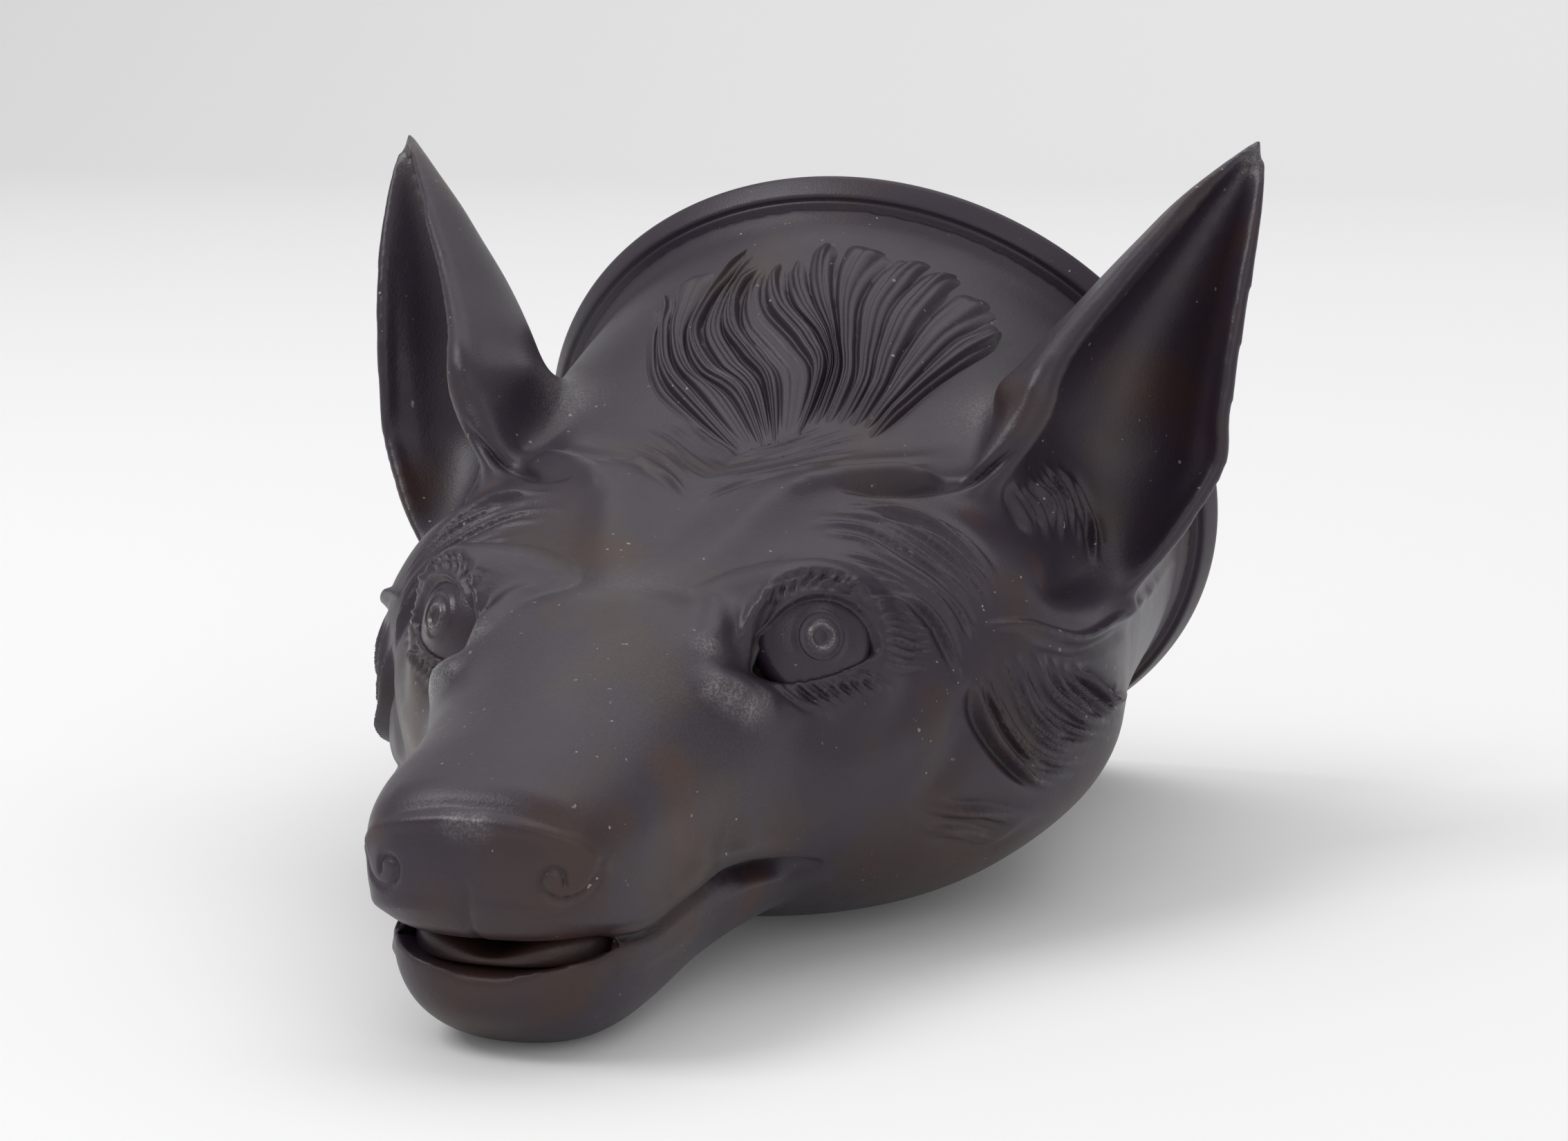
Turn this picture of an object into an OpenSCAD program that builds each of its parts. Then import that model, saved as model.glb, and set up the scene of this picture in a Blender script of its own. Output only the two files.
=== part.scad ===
// Fox-head stirrup cup in unglazed black stoneware, lying as it rests on a table.
// The muzzle points to -Y, the mouth of the cup opens back and up to +Y, and Z is up.
// The head is lofted through sections that lean back by degrees until they meet the
// plane of the turned rim. Left and right are the fox's own: its left ear is at +X.

/* [Cup] */
// Diameter across the lip
lip_d = 75; // [72:0.5:78]
// Lean of the mouth back from upright, in degrees
mouth_lean = 27; // [25:0.5:29]
// Distance of the lip's centre behind the middle of the cup
lip_back = 49.4; // [47:0.2:52]
// Wall thickness of the moulded shell
wall = 4; // [3:0.25:5]

/* [Rim] */
// Length of the turned collar along its axis, without the rounding of the lip
collar_len = 6; // [5:0.25:8]
// Step from the collar's neck out to the lip
lip_flare = 3.3; // [3:0.1:4]
// Width of the flat end of the lip
lip_face = 3.6; // [2.5:0.1:4.5]
// Rounding of the lip's edges
lip_round = 0.6; // [0.3:0.1:0.9]

/* [Face] */
// Diameter of the eyeball's seat in the socket
eye_d = 9.6; // [8.5:0.1:11]
// Height of the brow ridges
brow_rise = 1.8; // [0.8:0.1:2.4]
// Depth of the eye sockets
socket_depth = 2; // [1:0.1:3]
// Height of the rounded roll above the nose
nose_roll = 0.7; // [0.3:0.1:1.2]

/* [Ears] */
// Depth of the ear's cup at its deepest
ear_depth = 14; // [11:0.5:16]
// Wall of the ear at its foot
ear_wall = 3; // [2.4:0.1:4]

/* [Forelock] */
// Height of the locks above the crown
lock_rise = 1.5; // [0.8:0.1:2.2]
// Number of locks in the fan
lock_count = 11; // [7:1:15]

/* [Hidden] */
basalt = "#2b272b";
basalt_worn = "#3a3438";

lip_r = lip_d / 2;
neck_r = lip_r - lip_flare;
lip_centre = [0, lip_back, lip_r * cos(mouth_lean)];
cup_axis = [0, cos(mouth_lean), sin(mouth_lean)];
seat_centre = lip_centre - collar_len * cup_axis;

// Sections of the head from the nose to the collar's seat:
// y, z, lean, half width, height above, depth below, squareness above, squareness below
SECTIONS = [
    [-66.7, 16.4, 0, 2.5, 1.9, 1.9, 2.2, 2.2],
    [-65.9, 16.4, 0, 6.8, 4.4, 4, 2.5, 2.5],
    [-63.4, 16.6, 0, 9.8, 6.4, 5.2, 2.5, 3.4],
    [-58, 16.8, 0, 11.8, 8.1, 6.2, 2.3, 4.2],
    [-51, 17, 0, 12.8, 10.1, 7, 2.1, 4.6],
    [-43, 17.5, 0, 14, 12.9, 7.8, 2.2, 4.4],
    [-35, 18.5, 0, 16.8, 14.5, 9.4, 2.7, 3.6],
    [-27, 19, 0, 21.8, 14, 13.6, 2.9, 3],
    [-18, 19.5, 1, 28, 16.4, 18.2, 2.8, 2.7],
    [-8, 20.5, 3, 33.2, 19.6, 20.9, 2.7, 2.7],
    [4, 21.5, 6, 35.8, 20.4, 22, 2.6, 2.5],
    [16, 24.5, 12, 35.4, 22.8, 25.2, 2.5, 2.3],
    [29, 27, 19, 34.6, 28.9, 28.7, 2.2, 2.1],
    [seat_centre.y, seat_centre.z, mouth_lean, neck_r, neck_r, neck_r, 2, 2]
];
section_top = len(SECTIONS) - 1;
head_rows = 44;
head_sides = 60;
// Rows crowd towards the nose, and points round a row towards the crown, where the face has most relief
nose_crowding = 1.05;
crown_crowding = 24;

// The drinking cavity: its first section, the roundness of its front and its extra wall there
cavity_rows = 15;
cavity_start = 5.6;
cavity_round = 2.5;
cavity_tip = 0.03;
cavity_front_wall = 1.2;

// Left eye: centre of the pupil, way that it looks, and its turned rings
eye_at = [17.8, -30.2, 30];
eye_look = [0.6, -0.75, 0.28];
eye_r = eye_d / 2;
eye_bulge = 0.9;
eye_seat = 2.4;
iris_r = 1.9;
pupil_r = 0.85;
ring_r = 1.25;
ring_depth = 0.22;
// Shoulder of the eyeball: share of its radius, and of its seat or bulge, at each of two steps
eye_edge = 0.3;
eye_shoulder_r = 0.72;
eye_shoulder_rise = 0.45;

// Outside of the collar below the lip: step out from the neck, and share of the collar's length
COLLAR_STEPS = [[0, 0], [-0.15, 0.3], [0.15, 0.52], [0.5, 0.64], [0.35, 0.68], [1.2, 0.78], [2.3, 0.9]];
// Inside of the collar from the lip's flat end down: step out from the bore, and share of the length
COLLAR_INSIDE = [[2.5, 0.9], [0.5, 0.4], [0, 0]];
lip_edge_step = 0.2;
lip_edge_rise = 0.7;

// Curves that the relief of the face follows, on the fox's left side
BROW = [[26, 0.7, 41], [18.8, -1.5, 40.4], [11.5, -8.5, 40.2], [7, -14.5, 38.4], [4, -22, 35.4],
        [0, -28, 33.4]];
NOSE = [[7.4, -64.2, 19], [4, -65, 20.4], [0, -65.6, 20.9]];
CHEEKBONE = [[10, -38, 27.5], [14, -35, 25]];
brow_reach = 2.8;
nose_reach = 1.7;
cheekbone_reach = 3.6;
cheekbone_rise = 1.2;
socket_reach = 6.5;
lid_gap = 5.6;
lid_reach = 1.5;
lid_rise = 1.1;
conch_at = [33, 7, 37];
conch_reach = 8;
conch_depth = 3;
ruff_at = [36, 3, 17];
ruff_reach = 10;
ruff_rise = 1.2;

// Edges of the left ear from its foot to its tip, the depth of its cup and its wall
EAR_INNER_EDGE = [[21, 5, 31], [25.6, 1, 40.4], [28.4, 0.9, 48.5], [30.5, 5, 53.2],
                  [33.6, 10, 57.8], [37, 14.3, 62.4], [40.6, 19.2, 67], [45, 26.4, 71.3]];
EAR_OUTER_EDGE = [[29, 3, 20], [38.6, 11.2, 29.4], [42.9, 16.7, 38.6], [43.9, 17.3, 45],
                  [44.6, 18.4, 51.5], [45.3, 20.6, 58.2], [45.8, 24, 65], [45.6, 27.2, 71.1]];
EAR_DEPTH = [0.9, 1, 1, 0.93, 0.8, 0.6, 0.36, 0.06];
EAR_WALL = [1, 1, 1, 0.95, 0.9, 0.82, 0.66, 0.2];
ear_top = len(EAR_INNER_EDGE) - 1;
ear_rows = 20;
ear_sides = 14;
ear_round = 0.75;
// Rims of the ear's cup: width in walls, and most share of the ear's width, at its two edges
ear_inner_rim = [1.1, 0.45];
ear_outer_rim = [0.6, 0.4];

// Sections of the lower jaw from the chin back to the throat:
// y, z of the lip, half width, z of the keel, squareness, depth of the mouth's floor
JAW = [
    [-64, 8.2, 2.4, 6, 2.2, 0.4],
    [-63.3, 8.9, 6, 4, 2.3, 1.2],
    [-60.5, 9.4, 9, 1.5, 2.4, 2],
    [-55, 10.4, 11, -0.4, 2.5, 3],
    [-48, 11, 11.8, -0.4, 2.5, 3.6],
    [-40, 10.6, 12.8, 1.2, 2.4, 3.2],
    [-31, 9.4, 14.4, 2.6, 2.4, 2.2],
    [-20, 8.6, 16, 2.6, 2.4, 1.8]
];
jaw_top = len(JAW) - 1;
jaw_rows = 16;
jaw_sides = 22;
mouth_floor = 4;
jaw_seat_rows = 4;
jaw_seat_slit = 0.3;
jaw_seat_reach = 14;
jaw_seat_height = 6;

// The tongue lies on the floor of the mouth: y, half width, thickness
TONGUE = [[-60.4, 1.6, 0.4], [-59.6, 3.4, 0.9], [-56, 4.8, 1.4], [-50, 5.2, 1.4], [-43, 4.6, 1]];
tongue_z = 7.8;
tongue_under = 0.3;
tongue_rows = 10;
tongue_sides = 14;

// The forelock's fan: first and last section, half angle at the tips, share of it at the roots,
// how soon it opens, and the swing and length of its waves
lock_root = 10.2;
lock_tip = 12.7;
lock_angle = 38;
lock_gather = 0.5;
lock_open = 1.4;
lock_swing = 0.12;
lock_wave = 300;
// The locks fade out at the fan's sides, roots and tips, and their furrows stop above the crown
lock_fade = [6, 8, 6];
lock_furrow = 0.35;
lock_step = 0.25;
lock_rows = 12;
lock_columns = 44;

function ease(t) = let(c = max(0, min(1, t))) c * c * (3 - 2 * c);
function bell(d, reach) = exp(-d * d / (reach * reach));
function unit(v) = v / norm(v);
function folded(p) = [abs(p.x), p.y, p.z];

// Smooth curve through the entries of a list, at place u between 0 and its last index
function through(list, u) =
    let(
        last = len(list) - 1,
        i = min(max(floor(u), 0), last - 1),
        t = u - i,
        a = list[max(i - 1, 0)],
        b = list[i],
        c = list[i + 1],
        d = list[min(i + 2, last)]
    )
    0.5 * (2 * b + (c - a) * t + (2 * a - 5 * b + 4 * c - d) * t * t
           + (3 * b - a - 3 * c + d) * t * t * t);

function to_segment(p, a, b) =
    let(t = max(0, min(1, (p - a) * (b - a) / ((b - a) * (b - a))))) norm(p - a - t * (b - a));
function to_line(p, line) = min([for (i = [0:len(line) - 2]) to_segment(p, line[i], line[i + 1])]);

// Distance from a section's centre to its outline, at an angle from the top
function outline_r(half_w, tall, square, angle) =
    pow(pow(abs(sin(angle)) / half_w, square) + pow(abs(cos(angle)) / tall, square), -1 / square);

function section_out(s, angle) =
    [sin(angle), -sin(s[2]) * cos(angle), cos(s[2]) * cos(angle)];
function section_point(s, angle, inset) =
    let(
        above = cos(angle) >= 0,
        r = outline_r(s[3] - inset, (above ? s[4] : s[5]) - inset, above ? s[6] : s[7], angle)
    )
    [0, s[0], s[1]] + r * section_out(s, angle);

// Relief of the face, measured out from the plain section
function relief(p) =
    brow_rise * bell(to_line(p, BROW), brow_reach)
    + nose_roll * bell(to_line(p, NOSE), nose_reach)
    + cheekbone_rise * bell(to_line(p, CHEEKBONE), cheekbone_reach)
    + ruff_rise * bell(norm(p - ruff_at), ruff_reach)
    + lid_rise * bell(norm(p - eye_at) - lid_gap, lid_reach)
    - socket_depth * bell(norm(p - eye_at), socket_reach)
    - conch_depth * bell(norm(p - conch_at), conch_reach);

function on_table(p) = [p.x, p.y, max(p.z, 0)];
function head_point(u, angle, lift = 0) =
    let(s = through(SECTIONS, u), p = section_point(s, angle, 0))
    on_table(p + (relief(folded(p)) + lift) * section_out(s, angle));

function turn(i, sides) = 360 * i / sides;
function head_turn(i) = turn(i, head_sides) - crown_crowding * sin(turn(i, head_sides));
function head_row(u) = [for (i = [0:head_sides - 1]) head_point(u, head_turn(i))];
function seat_row(inset) =
    [for (i = [0:head_sides - 1]) section_point(SECTIONS[section_top], head_turn(i), inset)];
function head_rings() =
    concat(
        [for (k = [0:head_rows - 1]) head_row(section_top * pow(k / head_rows, nose_crowding))],
        [seat_row(0)]
    );

// The cavity follows the head at the wall's thickness and closes round in the muzzle
function cavity_row(k) =
    let(
        t = k / cavity_rows,
        u = cavity_start + (section_top - cavity_start) * t,
        s = through(SECTIONS, u),
        close = sqrt(1 - pow(1 - min(1, t * cavity_round + cavity_tip), 2)),
        inset = wall + cavity_front_wall * (1 - t),
        centre = [0, s[0], s[1]]
    )
    [for (i = [0:head_sides - 1]) centre + close * (section_point(s, head_turn(i), inset) - centre)];

// Skin over a row of rings. Each ring's points pair up across it, so its ends close in strips.
module loft(rings) {
    n = len(rings[0]);
    half = n / 2;
    last = (len(rings) - 1) * n;
    skin = [for (k = [0:len(rings) - 2], i = [0:n - 1])
        let(a = k * n + i, b = k * n + (i + 1) % n)
        each [[a, b + n, b], [a, a + n, b + n]]];
    strips = [for (i = [0:half - 1])
        each [if (i > 0) [i, n - i, n - i - 1], if (i < half - 1) [i, n - i - 1, i + 1]]];
    first_cap = [for (f = strips) [f[0], f[2], f[1]]];
    last_cap = [for (f = strips) [last + f[0], last + f[1], last + f[2]]];
    polyhedron([for (r = rings) each r], concat(skin, first_cap, last_cap), convexity = 8);
}

// Place along the head of the section whose plane holds a point
function section_of(p, low = 0, high = section_top, steps = 16) =
    let(mid = (low + high) / 2, s = through(SECTIONS, mid))
    steps == 0 ? mid
    : (p.y - s[0]) * cos(s[2]) + (p.z - s[1]) * sin(s[2]) > 0 ? section_of(p, mid, high, steps - 1)
    : section_of(p, low, mid, steps - 1);

// Height of a point above the skin of the head, measured out from its section's centre
function above_head(p) =
    let(
        u = section_of(p),
        s = through(SECTIONS, u),
        rel = p - [0, s[0], s[1]],
        angle = atan2(rel.x, rel.z * cos(s[2]) - rel.y * sin(s[2]))
    )
    norm(rel) - norm(head_point(u, angle) - [0, s[0], s[1]]);

// Place where a line leaves the head, searched between a place inside and one outside
function foot_place(line, inside, outside, steps = 12) =
    let(mid = (inside + outside) / 2)
    steps == 0 ? mid
    : above_head(line(mid)) < 0 ? foot_place(line, mid, outside, steps - 1)
    : foot_place(line, inside, mid, steps - 1);

// Stand at the left eye with Z along its look
module at_eye() {
    look = unit(eye_look);
    translate(eye_at) rotate([0, acos(look.z), atan2(look.y, look.x)]) children();
}

// The eyeball has a flat back, a round shoulder, a turned iris and a ring round its pupil
module eyeball() at_eye() rotate_extrude($fn = 64)
    polygon([
        [0, -eye_seat],
        [eye_r, -eye_seat],
        [eye_r, -eye_seat * eye_edge],
        [eye_r * eye_shoulder_r, eye_bulge * eye_shoulder_rise],
        [iris_r, eye_bulge],
        [iris_r, eye_bulge - ring_depth],
        [ring_r, eye_bulge - ring_depth],
        [ring_r, eye_bulge + ring_depth],
        [pupil_r, eye_bulge + ring_depth],
        [pupil_r, eye_bulge - 2 * ring_depth],
        [0, eye_bulge - 2 * ring_depth]
    ]);

// The socket is a flat-bottomed pocket that the eyeball is set into
module eye_socket() at_eye() translate([0, 0, -eye_seat]) cylinder(r = eye_r, h = 3 * eye_seat, $fn = 64);

module head_shell() color(basalt) difference() {
    loft(concat(head_rings(), [for (k = [cavity_rows:-1:0]) cavity_row(k)]));
    eye_socket();
    mirror([1, 0, 0]) eye_socket();
}

// Turned collar with a hollow neck, a fine groove and a flared lip
module rim_collar() color(basalt) {
    bore_r = neck_r - wall;
    face_r = lip_r - lip_round;
    face_z = collar_len + lip_round;
    translate(seat_centre) rotate([mouth_lean - 90, 0, 0]) rotate_extrude($fn = 144)
        polygon(concat(
            [for (s = COLLAR_STEPS) [neck_r + s[0], collar_len * s[1]]],
            [
                [lip_r, collar_len],
                [lip_r - lip_round * lip_edge_step, collar_len + lip_round * lip_edge_rise],
                [face_r, face_z],
                [face_r - lip_face, face_z]
            ],
            [for (s = COLLAR_INSIDE) [bore_r + s[0], collar_len * s[1]]]
        ));
}

// One line of the jaw from the chin back: the keel below and the hollowed floor of the mouth above
function jaw_point(u, i) =
    let(
        s = through(JAW, u),
        angle = turn(i, jaw_sides),
        r = outline_r(s[2], s[1] - s[3], s[4], angle),
        x = r * sin(angle),
        floor_z = s[1] - s[5] * (1 - pow(min(1, abs(x) / s[2]), mouth_floor))
    )
    on_table([x, s[0], cos(angle) < 0 ? s[1] + r * cos(angle) : floor_z]);

// Point of the jaw's back end, which is hollowed to sit on the head, at a share of the way to the middle
function jaw_seat_point(foot, share) =
    let(
        x = foot.x * (1 - share),
        z = jaw_seat_height + (foot.z - jaw_seat_height) * (1 - share),
        y = foot_place(function(v) [x, v, z], foot.y + jaw_seat_reach, foot.y - jaw_seat_reach)
    )
    [x, y, z];

module lower_jaw() color(basalt) {
    feet = [for (i = [0:jaw_sides - 1]) foot_place(function(u) jaw_point(u, i), jaw_top, 0)];
    sides = [for (k = [0:jaw_rows]) [for (i = [0:jaw_sides - 1]) jaw_point(feet[i] * k / jaw_rows, i)]];
    seat = [for (k = [1:jaw_seat_rows])
        [for (foot = sides[jaw_rows]) jaw_seat_point(foot, k / (jaw_seat_rows + jaw_seat_slit))]];
    loft(concat(sides, seat));
}

function tongue_row(u) =
    let(s = through(TONGUE, u))
    [for (i = [0:tongue_sides - 1])
        let(angle = turn(i, tongue_sides))
        [s[1] * sin(angle), s[0], tongue_z + s[2] * cos(angle) * (cos(angle) > 0 ? 1 : tongue_under)]];
module tongue() color(basalt_worn)
    loft([for (k = [0:tongue_rows]) tongue_row((len(TONGUE) - 1) * k / tongue_rows)]);

// One line of the ear: the first half of the lines run up its back, the others up through its cup
function ear_point(u, i) =
    let(
        inner = through(EAR_INNER_EDGE, u),
        outer = through(EAR_OUTER_EDGE, u),
        depth = ear_depth * through(EAR_DEPTH, u),
        thick = ear_wall * through(EAR_WALL, u),
        across = outer - inner,
        rise = through(EAR_INNER_EDGE, min(u + 0.5, ear_top)) - through(EAR_INNER_EDGE, max(u - 0.5, 0)),
        back = unit(cross(rise, across)),
        in_cup = i > ear_sides,
        inner_rim = in_cup ? min(ear_inner_rim[1], ear_inner_rim[0] * thick / norm(across)) : 0,
        outer_rim = in_cup ? min(ear_outer_rim[1], ear_outer_rim[0] * thick / norm(across)) : 0,
        a = in_cup ? 360 - 180 * i / ear_sides : 180 * i / ear_sides,
        t = (1 - cos(a)) / 2,
        deep = (in_cup ? depth - thick : depth) * pow(sin(a), ear_round)
    )
    inner + across * (inner_rim + (1 - inner_rim - outer_rim) * t) + back * deep;

module ear() {
    lines = 2 * ear_sides;
    feet = [for (i = [0:lines - 1]) foot_place(function(u) ear_point(u, i), 0, ear_top)];
    loft([for (k = [0:ear_rows])
        [for (i = [0:lines - 1]) ear_point(ear_top + (feet[i] - ear_top) * k / ear_rows, i)]]);
}
module left_ear() color(basalt) ear();
module right_ear() color(basalt) mirror([1, 0, 0]) ear();
module left_eye() color(basalt_worn) eyeball();
module right_eye() color(basalt_worn) mirror([1, 0, 0]) eyeball();

// The forelock is one patch of wavy locks that fans out over the crown
function lock_edge(q, t) =
    ease((1 - abs(q)) * lock_fade[0]) * ease(t * lock_fade[1]) * ease((1 - t) * lock_fade[2]);
function lock_height(q, t) =
    let(
        wave = q + lock_swing * sin(lock_wave * t) * t,
        round_top = abs(sin(90 * lock_count * wave))
    )
    lock_step + lock_rise * lock_edge(q, t) * (lock_furrow + (1 - lock_furrow) * round_top);
function lock_point(q, t, lift) =
    let(
        place = lock_root + (lock_tip - lock_root) * t,
        fan = lock_gather + (1 - lock_gather) * ease(t * lock_open)
    )
    head_point(place, lock_angle * q * fan, lift);
function lock_q(i) = 2 * i / lock_columns - 1;
function lock_row(t) =
    concat(
        [for (i = [0:lock_columns]) lock_point(lock_q(i), t, lock_height(lock_q(i), t))],
        [for (i = [lock_columns - 1:-1:1]) lock_point(lock_q(i), t, 0)]
    );
module forelock() color(basalt) loft([for (k = [0:lock_rows]) lock_row(k / lock_rows)]);

head_shell();
rim_collar();
lower_jaw();
tongue();
left_ear();
right_ear();
left_eye();
right_eye();
forelock();
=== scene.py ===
"""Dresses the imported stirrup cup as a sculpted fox's head in dry black stoneware on a pale studio floor."""
import math

import bpy
import numpy as np
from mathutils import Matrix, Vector
from mathutils.bvhtree import BVHTree


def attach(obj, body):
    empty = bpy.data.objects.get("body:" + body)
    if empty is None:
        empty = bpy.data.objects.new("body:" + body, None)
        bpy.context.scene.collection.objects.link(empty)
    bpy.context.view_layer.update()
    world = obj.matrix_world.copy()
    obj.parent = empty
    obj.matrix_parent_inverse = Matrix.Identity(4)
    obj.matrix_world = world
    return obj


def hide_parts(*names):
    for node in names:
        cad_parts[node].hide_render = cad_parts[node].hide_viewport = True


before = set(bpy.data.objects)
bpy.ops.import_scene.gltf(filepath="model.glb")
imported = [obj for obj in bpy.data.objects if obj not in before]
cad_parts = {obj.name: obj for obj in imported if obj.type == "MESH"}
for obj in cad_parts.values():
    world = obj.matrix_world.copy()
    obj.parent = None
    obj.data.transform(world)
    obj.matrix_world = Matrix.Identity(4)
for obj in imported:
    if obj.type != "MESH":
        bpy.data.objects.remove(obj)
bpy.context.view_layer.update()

# Camera and photograph. Shapes are worked in millimetres and written to the meshes in metres.
MM = 0.001
PHOTO_WIDE = 2268
PHOTO_TALL = 1650
FOCAL_PX = 4866.9
SENSOR_MM = 36.0
CAMERA_TURN = math.radians(17.527)
CAMERA_RISE = math.radians(8.690)
CAMERA_REACH = 310.0
CAMERA_AIM = np.array([8.09, -10.0, 32.34])
CAMERA_NEAR = 10.0

# Points closer than the weld are merged, and the tiny numbers keep a division from zero
WELD = 0.0005
TINY = 1e-9
TINY_SQUARE = 1e-12

# Rim and seat of the turned collar, as in the part's source
MOUTH_LEAN_DEG = 27
MOUTH_LEAN = math.radians(MOUTH_LEAN_DEG)
LIP_R = 37.5
LIP_Y = 49.4
NECK_R = 34.2
WALL = 4.0
COLLAR_LEN = 6.0
CUP_AXIS = np.array([0, math.cos(MOUTH_LEAN), math.sin(MOUTH_LEAN)])
LIP_CENTRE = np.array([0, LIP_Y, LIP_R * math.cos(MOUTH_LEAN)])
SEAT = LIP_CENTRE - COLLAR_LEN * CUP_AXIS

# Sections of the head: y, z, lean, half width, height, depth, squareness above and below
SECTIONS = np.array([
    [-66.7, 16.4, 0, 2.5, 1.9, 2.4, 2.2, 2.2],
    [-65.9, 16.4, 0, 6.8, 4.4, 4.9, 2.5, 2.5],
    [-63.4, 16.6, 0, 9.8, 6.4, 6.3, 2.5, 3.4],
    [-58, 16.8, 0, 11.8, 8.1, 7.1, 2.3, 4.2],
    [-51, 17, 0, 12.8, 10.1, 7.4, 2.1, 4.6],
    [-43, 17.5, 0, 14, 12.9, 7.8, 2.2, 4.4],
    [-35, 18.5, 0, 16.8, 14.5, 9.4, 2.7, 3.6],
    [-27, 19, 0, 21.8, 14, 13.6, 2.9, 3],
    [-18, 19.5, 1, 28, 16.4, 18.2, 2.8, 2.7],
    [-8, 20.5, 3, 33.2, 19.6, 20.9, 2.7, 2.7],
    [4, 21.5, 6, 35.8, 20.4, 22, 2.6, 2.5],
    [16, 24.5, 12, 35.4, 22.8, 25.2, 2.5, 2.3],
    [29, 27, 19, 34.6, 28.9, 28.7, 2.2, 2.1],
    [SEAT[1], SEAT[2], MOUTH_LEAN_DEG, NECK_R, NECK_R, NECK_R, 2, 2],
])
HEAD_ROWS = 170
HEAD_SIDES = 220
# How the rows crowd towards the nose, and how much of the last section the relief fades over
HEAD_CROWDING = 1.05
RELIEF_FADE = 0.6
# Rings that carry the skin from the seat to the groove under the lip: distance from the seat and radius
NECK_RINGS = [(1.6, 34.3), (2.8, 34.85), (3.6, 35.35), (4.0, 34.9), (4.2, 33.5)]
# Distance from the seat past which the closed end of the skin is cut away
SKIN_END = 3.85

# Drinking bowl: the section where it starts, and how its rounded front opens
CAVITY_START = 5.6
CAVITY_TIP = 0.001
CAVITY_OPENING = 2.5
CAVITY_ROWS = 60
CAVITY_SIDES = 120

# Edges of the left ear from foot to tip, the depth of its cup and its wall
EAR_INNER = np.array([[21, 5, 31], [25.6, 1, 40.4], [28.4, 0.9, 48.5], [30.5, 5, 53.2],
                      [33.6, 10, 57.8], [37, 14.3, 62.4], [40.6, 19.2, 67], [45, 26.4, 71.3]])
EAR_OUTER = np.array([[29, 3, 20], [38.6, 11.2, 29.4], [42.9, 16.7, 38.6], [43.9, 17.3, 45],
                      [44.6, 18.4, 51.5], [45.3, 20.6, 58.2], [45.8, 24, 65], [45.6, 27.2, 71.1]])
EAR_DEPTH = 14.0 * np.array([[0.9], [1], [1], [0.93], [0.8], [0.6], [0.36], [0.06]])
EAR_WALL = 3.0 * np.array([[1], [1], [1], [0.95], [0.9], [0.82], [0.66], [0.24]])
EAR_ROUND = 0.75
EAR_ROWS = 110
EAR_SIDES = 36
# Step along the ear over which its rise is taken, in rows of its tables
EAR_STEP = 0.5
# Rims on either side of the ear's cup, in walls, and the most of its width that each one takes
INNER_RIM = 1.1
INNER_RIM_MOST = 0.45
OUTER_RIM = 0.6
OUTER_RIM_MOST = 0.4

# Sections of the lower jaw: y, lip z, half width, keel z, squareness, depth of the mouth's floor
JAW = np.array([
    [-64, 8.2, 2.4, 6, 2.2, 0.4],
    [-63.3, 8.9, 6, 4, 2.3, 1.2],
    [-60.5, 9.4, 9, 1.5, 2.4, 2],
    [-55, 10.6, 11, -0.4, 2.5, 3],
    [-48, 11.2, 11.8, -0.4, 2.5, 3.6],
    [-40, 10.8, 12.8, 1.2, 2.4, 3.2],
    [-31, 9.6, 14.4, 2.6, 2.4, 2.2],
    [-20, 8.6, 16, 2.6, 2.4, 1.8],
])
JAW_ROWS = 80
JAW_SIDES = 80
MOUTH_SQUARE = 4

# Rolls on the ear's inner and outer rims, place and radius, and along the brow, x, y and radius
EAR_ROLL = [(5.4, 0.7), (5.0, 0.85), (4.0, 1.05), (3.0, 1.35), (2.3, 1.75), (1.7, 2.0)]
OUTER_ROLL = [(0.6, 0.9), (2.0, 0.95), (3.0, 0.95), (4.0, 0.95), (5.0, 0.9), (6.0, 0.75), (6.6, 0.5)]
BROW_ROLL = [(22.6, -0.8, 2.0), (18.8, -1.7, 1.8), (15.0, -5.0, 1.5), (11.5, -8.6, 1.15), (9.0, -11.5, 0.8)]
# How far a roll lies in from the rim, behind it and sunk, in its own radii
ROLL_IN = 0.9
ROLL_BACK = 0.6
ROLL_SUNK = 0.5
ROLL_STEP = 0.4
ROLL_ROWS = 120
ROLL_SIDES = 32
# A way that crosses every roll, and a height above the whole head
ROLL_ACROSS = np.array([0.3, -0.9, 0.3])
OVER_HEAD = 100

# Left eye: the opening of its lids, how they stand over the ball, and how far the skin is drawn to them
EYE_AT = np.array([17.8, -30.2, 30.0])
EYE_WAY = np.array([0.6, -0.75, 0.28])
EYE_LOOK = EYE_WAY / np.linalg.norm(EYE_WAY)
EYE_ZONE = 13
LID_TILT = math.radians(11)
LID_CORNER_LOW = 2.1
LID_ARCH = 5.6
LID_SAG = 1.3
LID_HALF = 5.7
LID_INWARD = 0.3
LID_LOW = 0.45
LID_OVERHANG = 0.6
LID_OVERHANG_LOW = 1
LID_OVERHANG_EASE = 3
LID_EDGE = 0.95
LID_INSIDE = 0.94
LID_EDGE_EASE = 0.12
LID_SUNK = 1.6
LID_REACH = 10.5
LID_EASE = 4.6
BALL_TOP = 0.25
BALL_CURVE = 0.062
BALL_EDGE = 5.1
PUPIL_RING = 1.06
PUPIL_RING_REACH = 0.22
PUPIL_REACH = 0.6
# Ring of skin round the eye that is eased into its surroundings
EYE_RING_INSIDE = 6.2
EYE_RING_INSIDE_EASE = 1.6
EYE_RING_OUTSIDE = 13.5
EYE_RING_OUTSIDE_EASE = 3
EYE_SMOOTHINGS = 40

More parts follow.
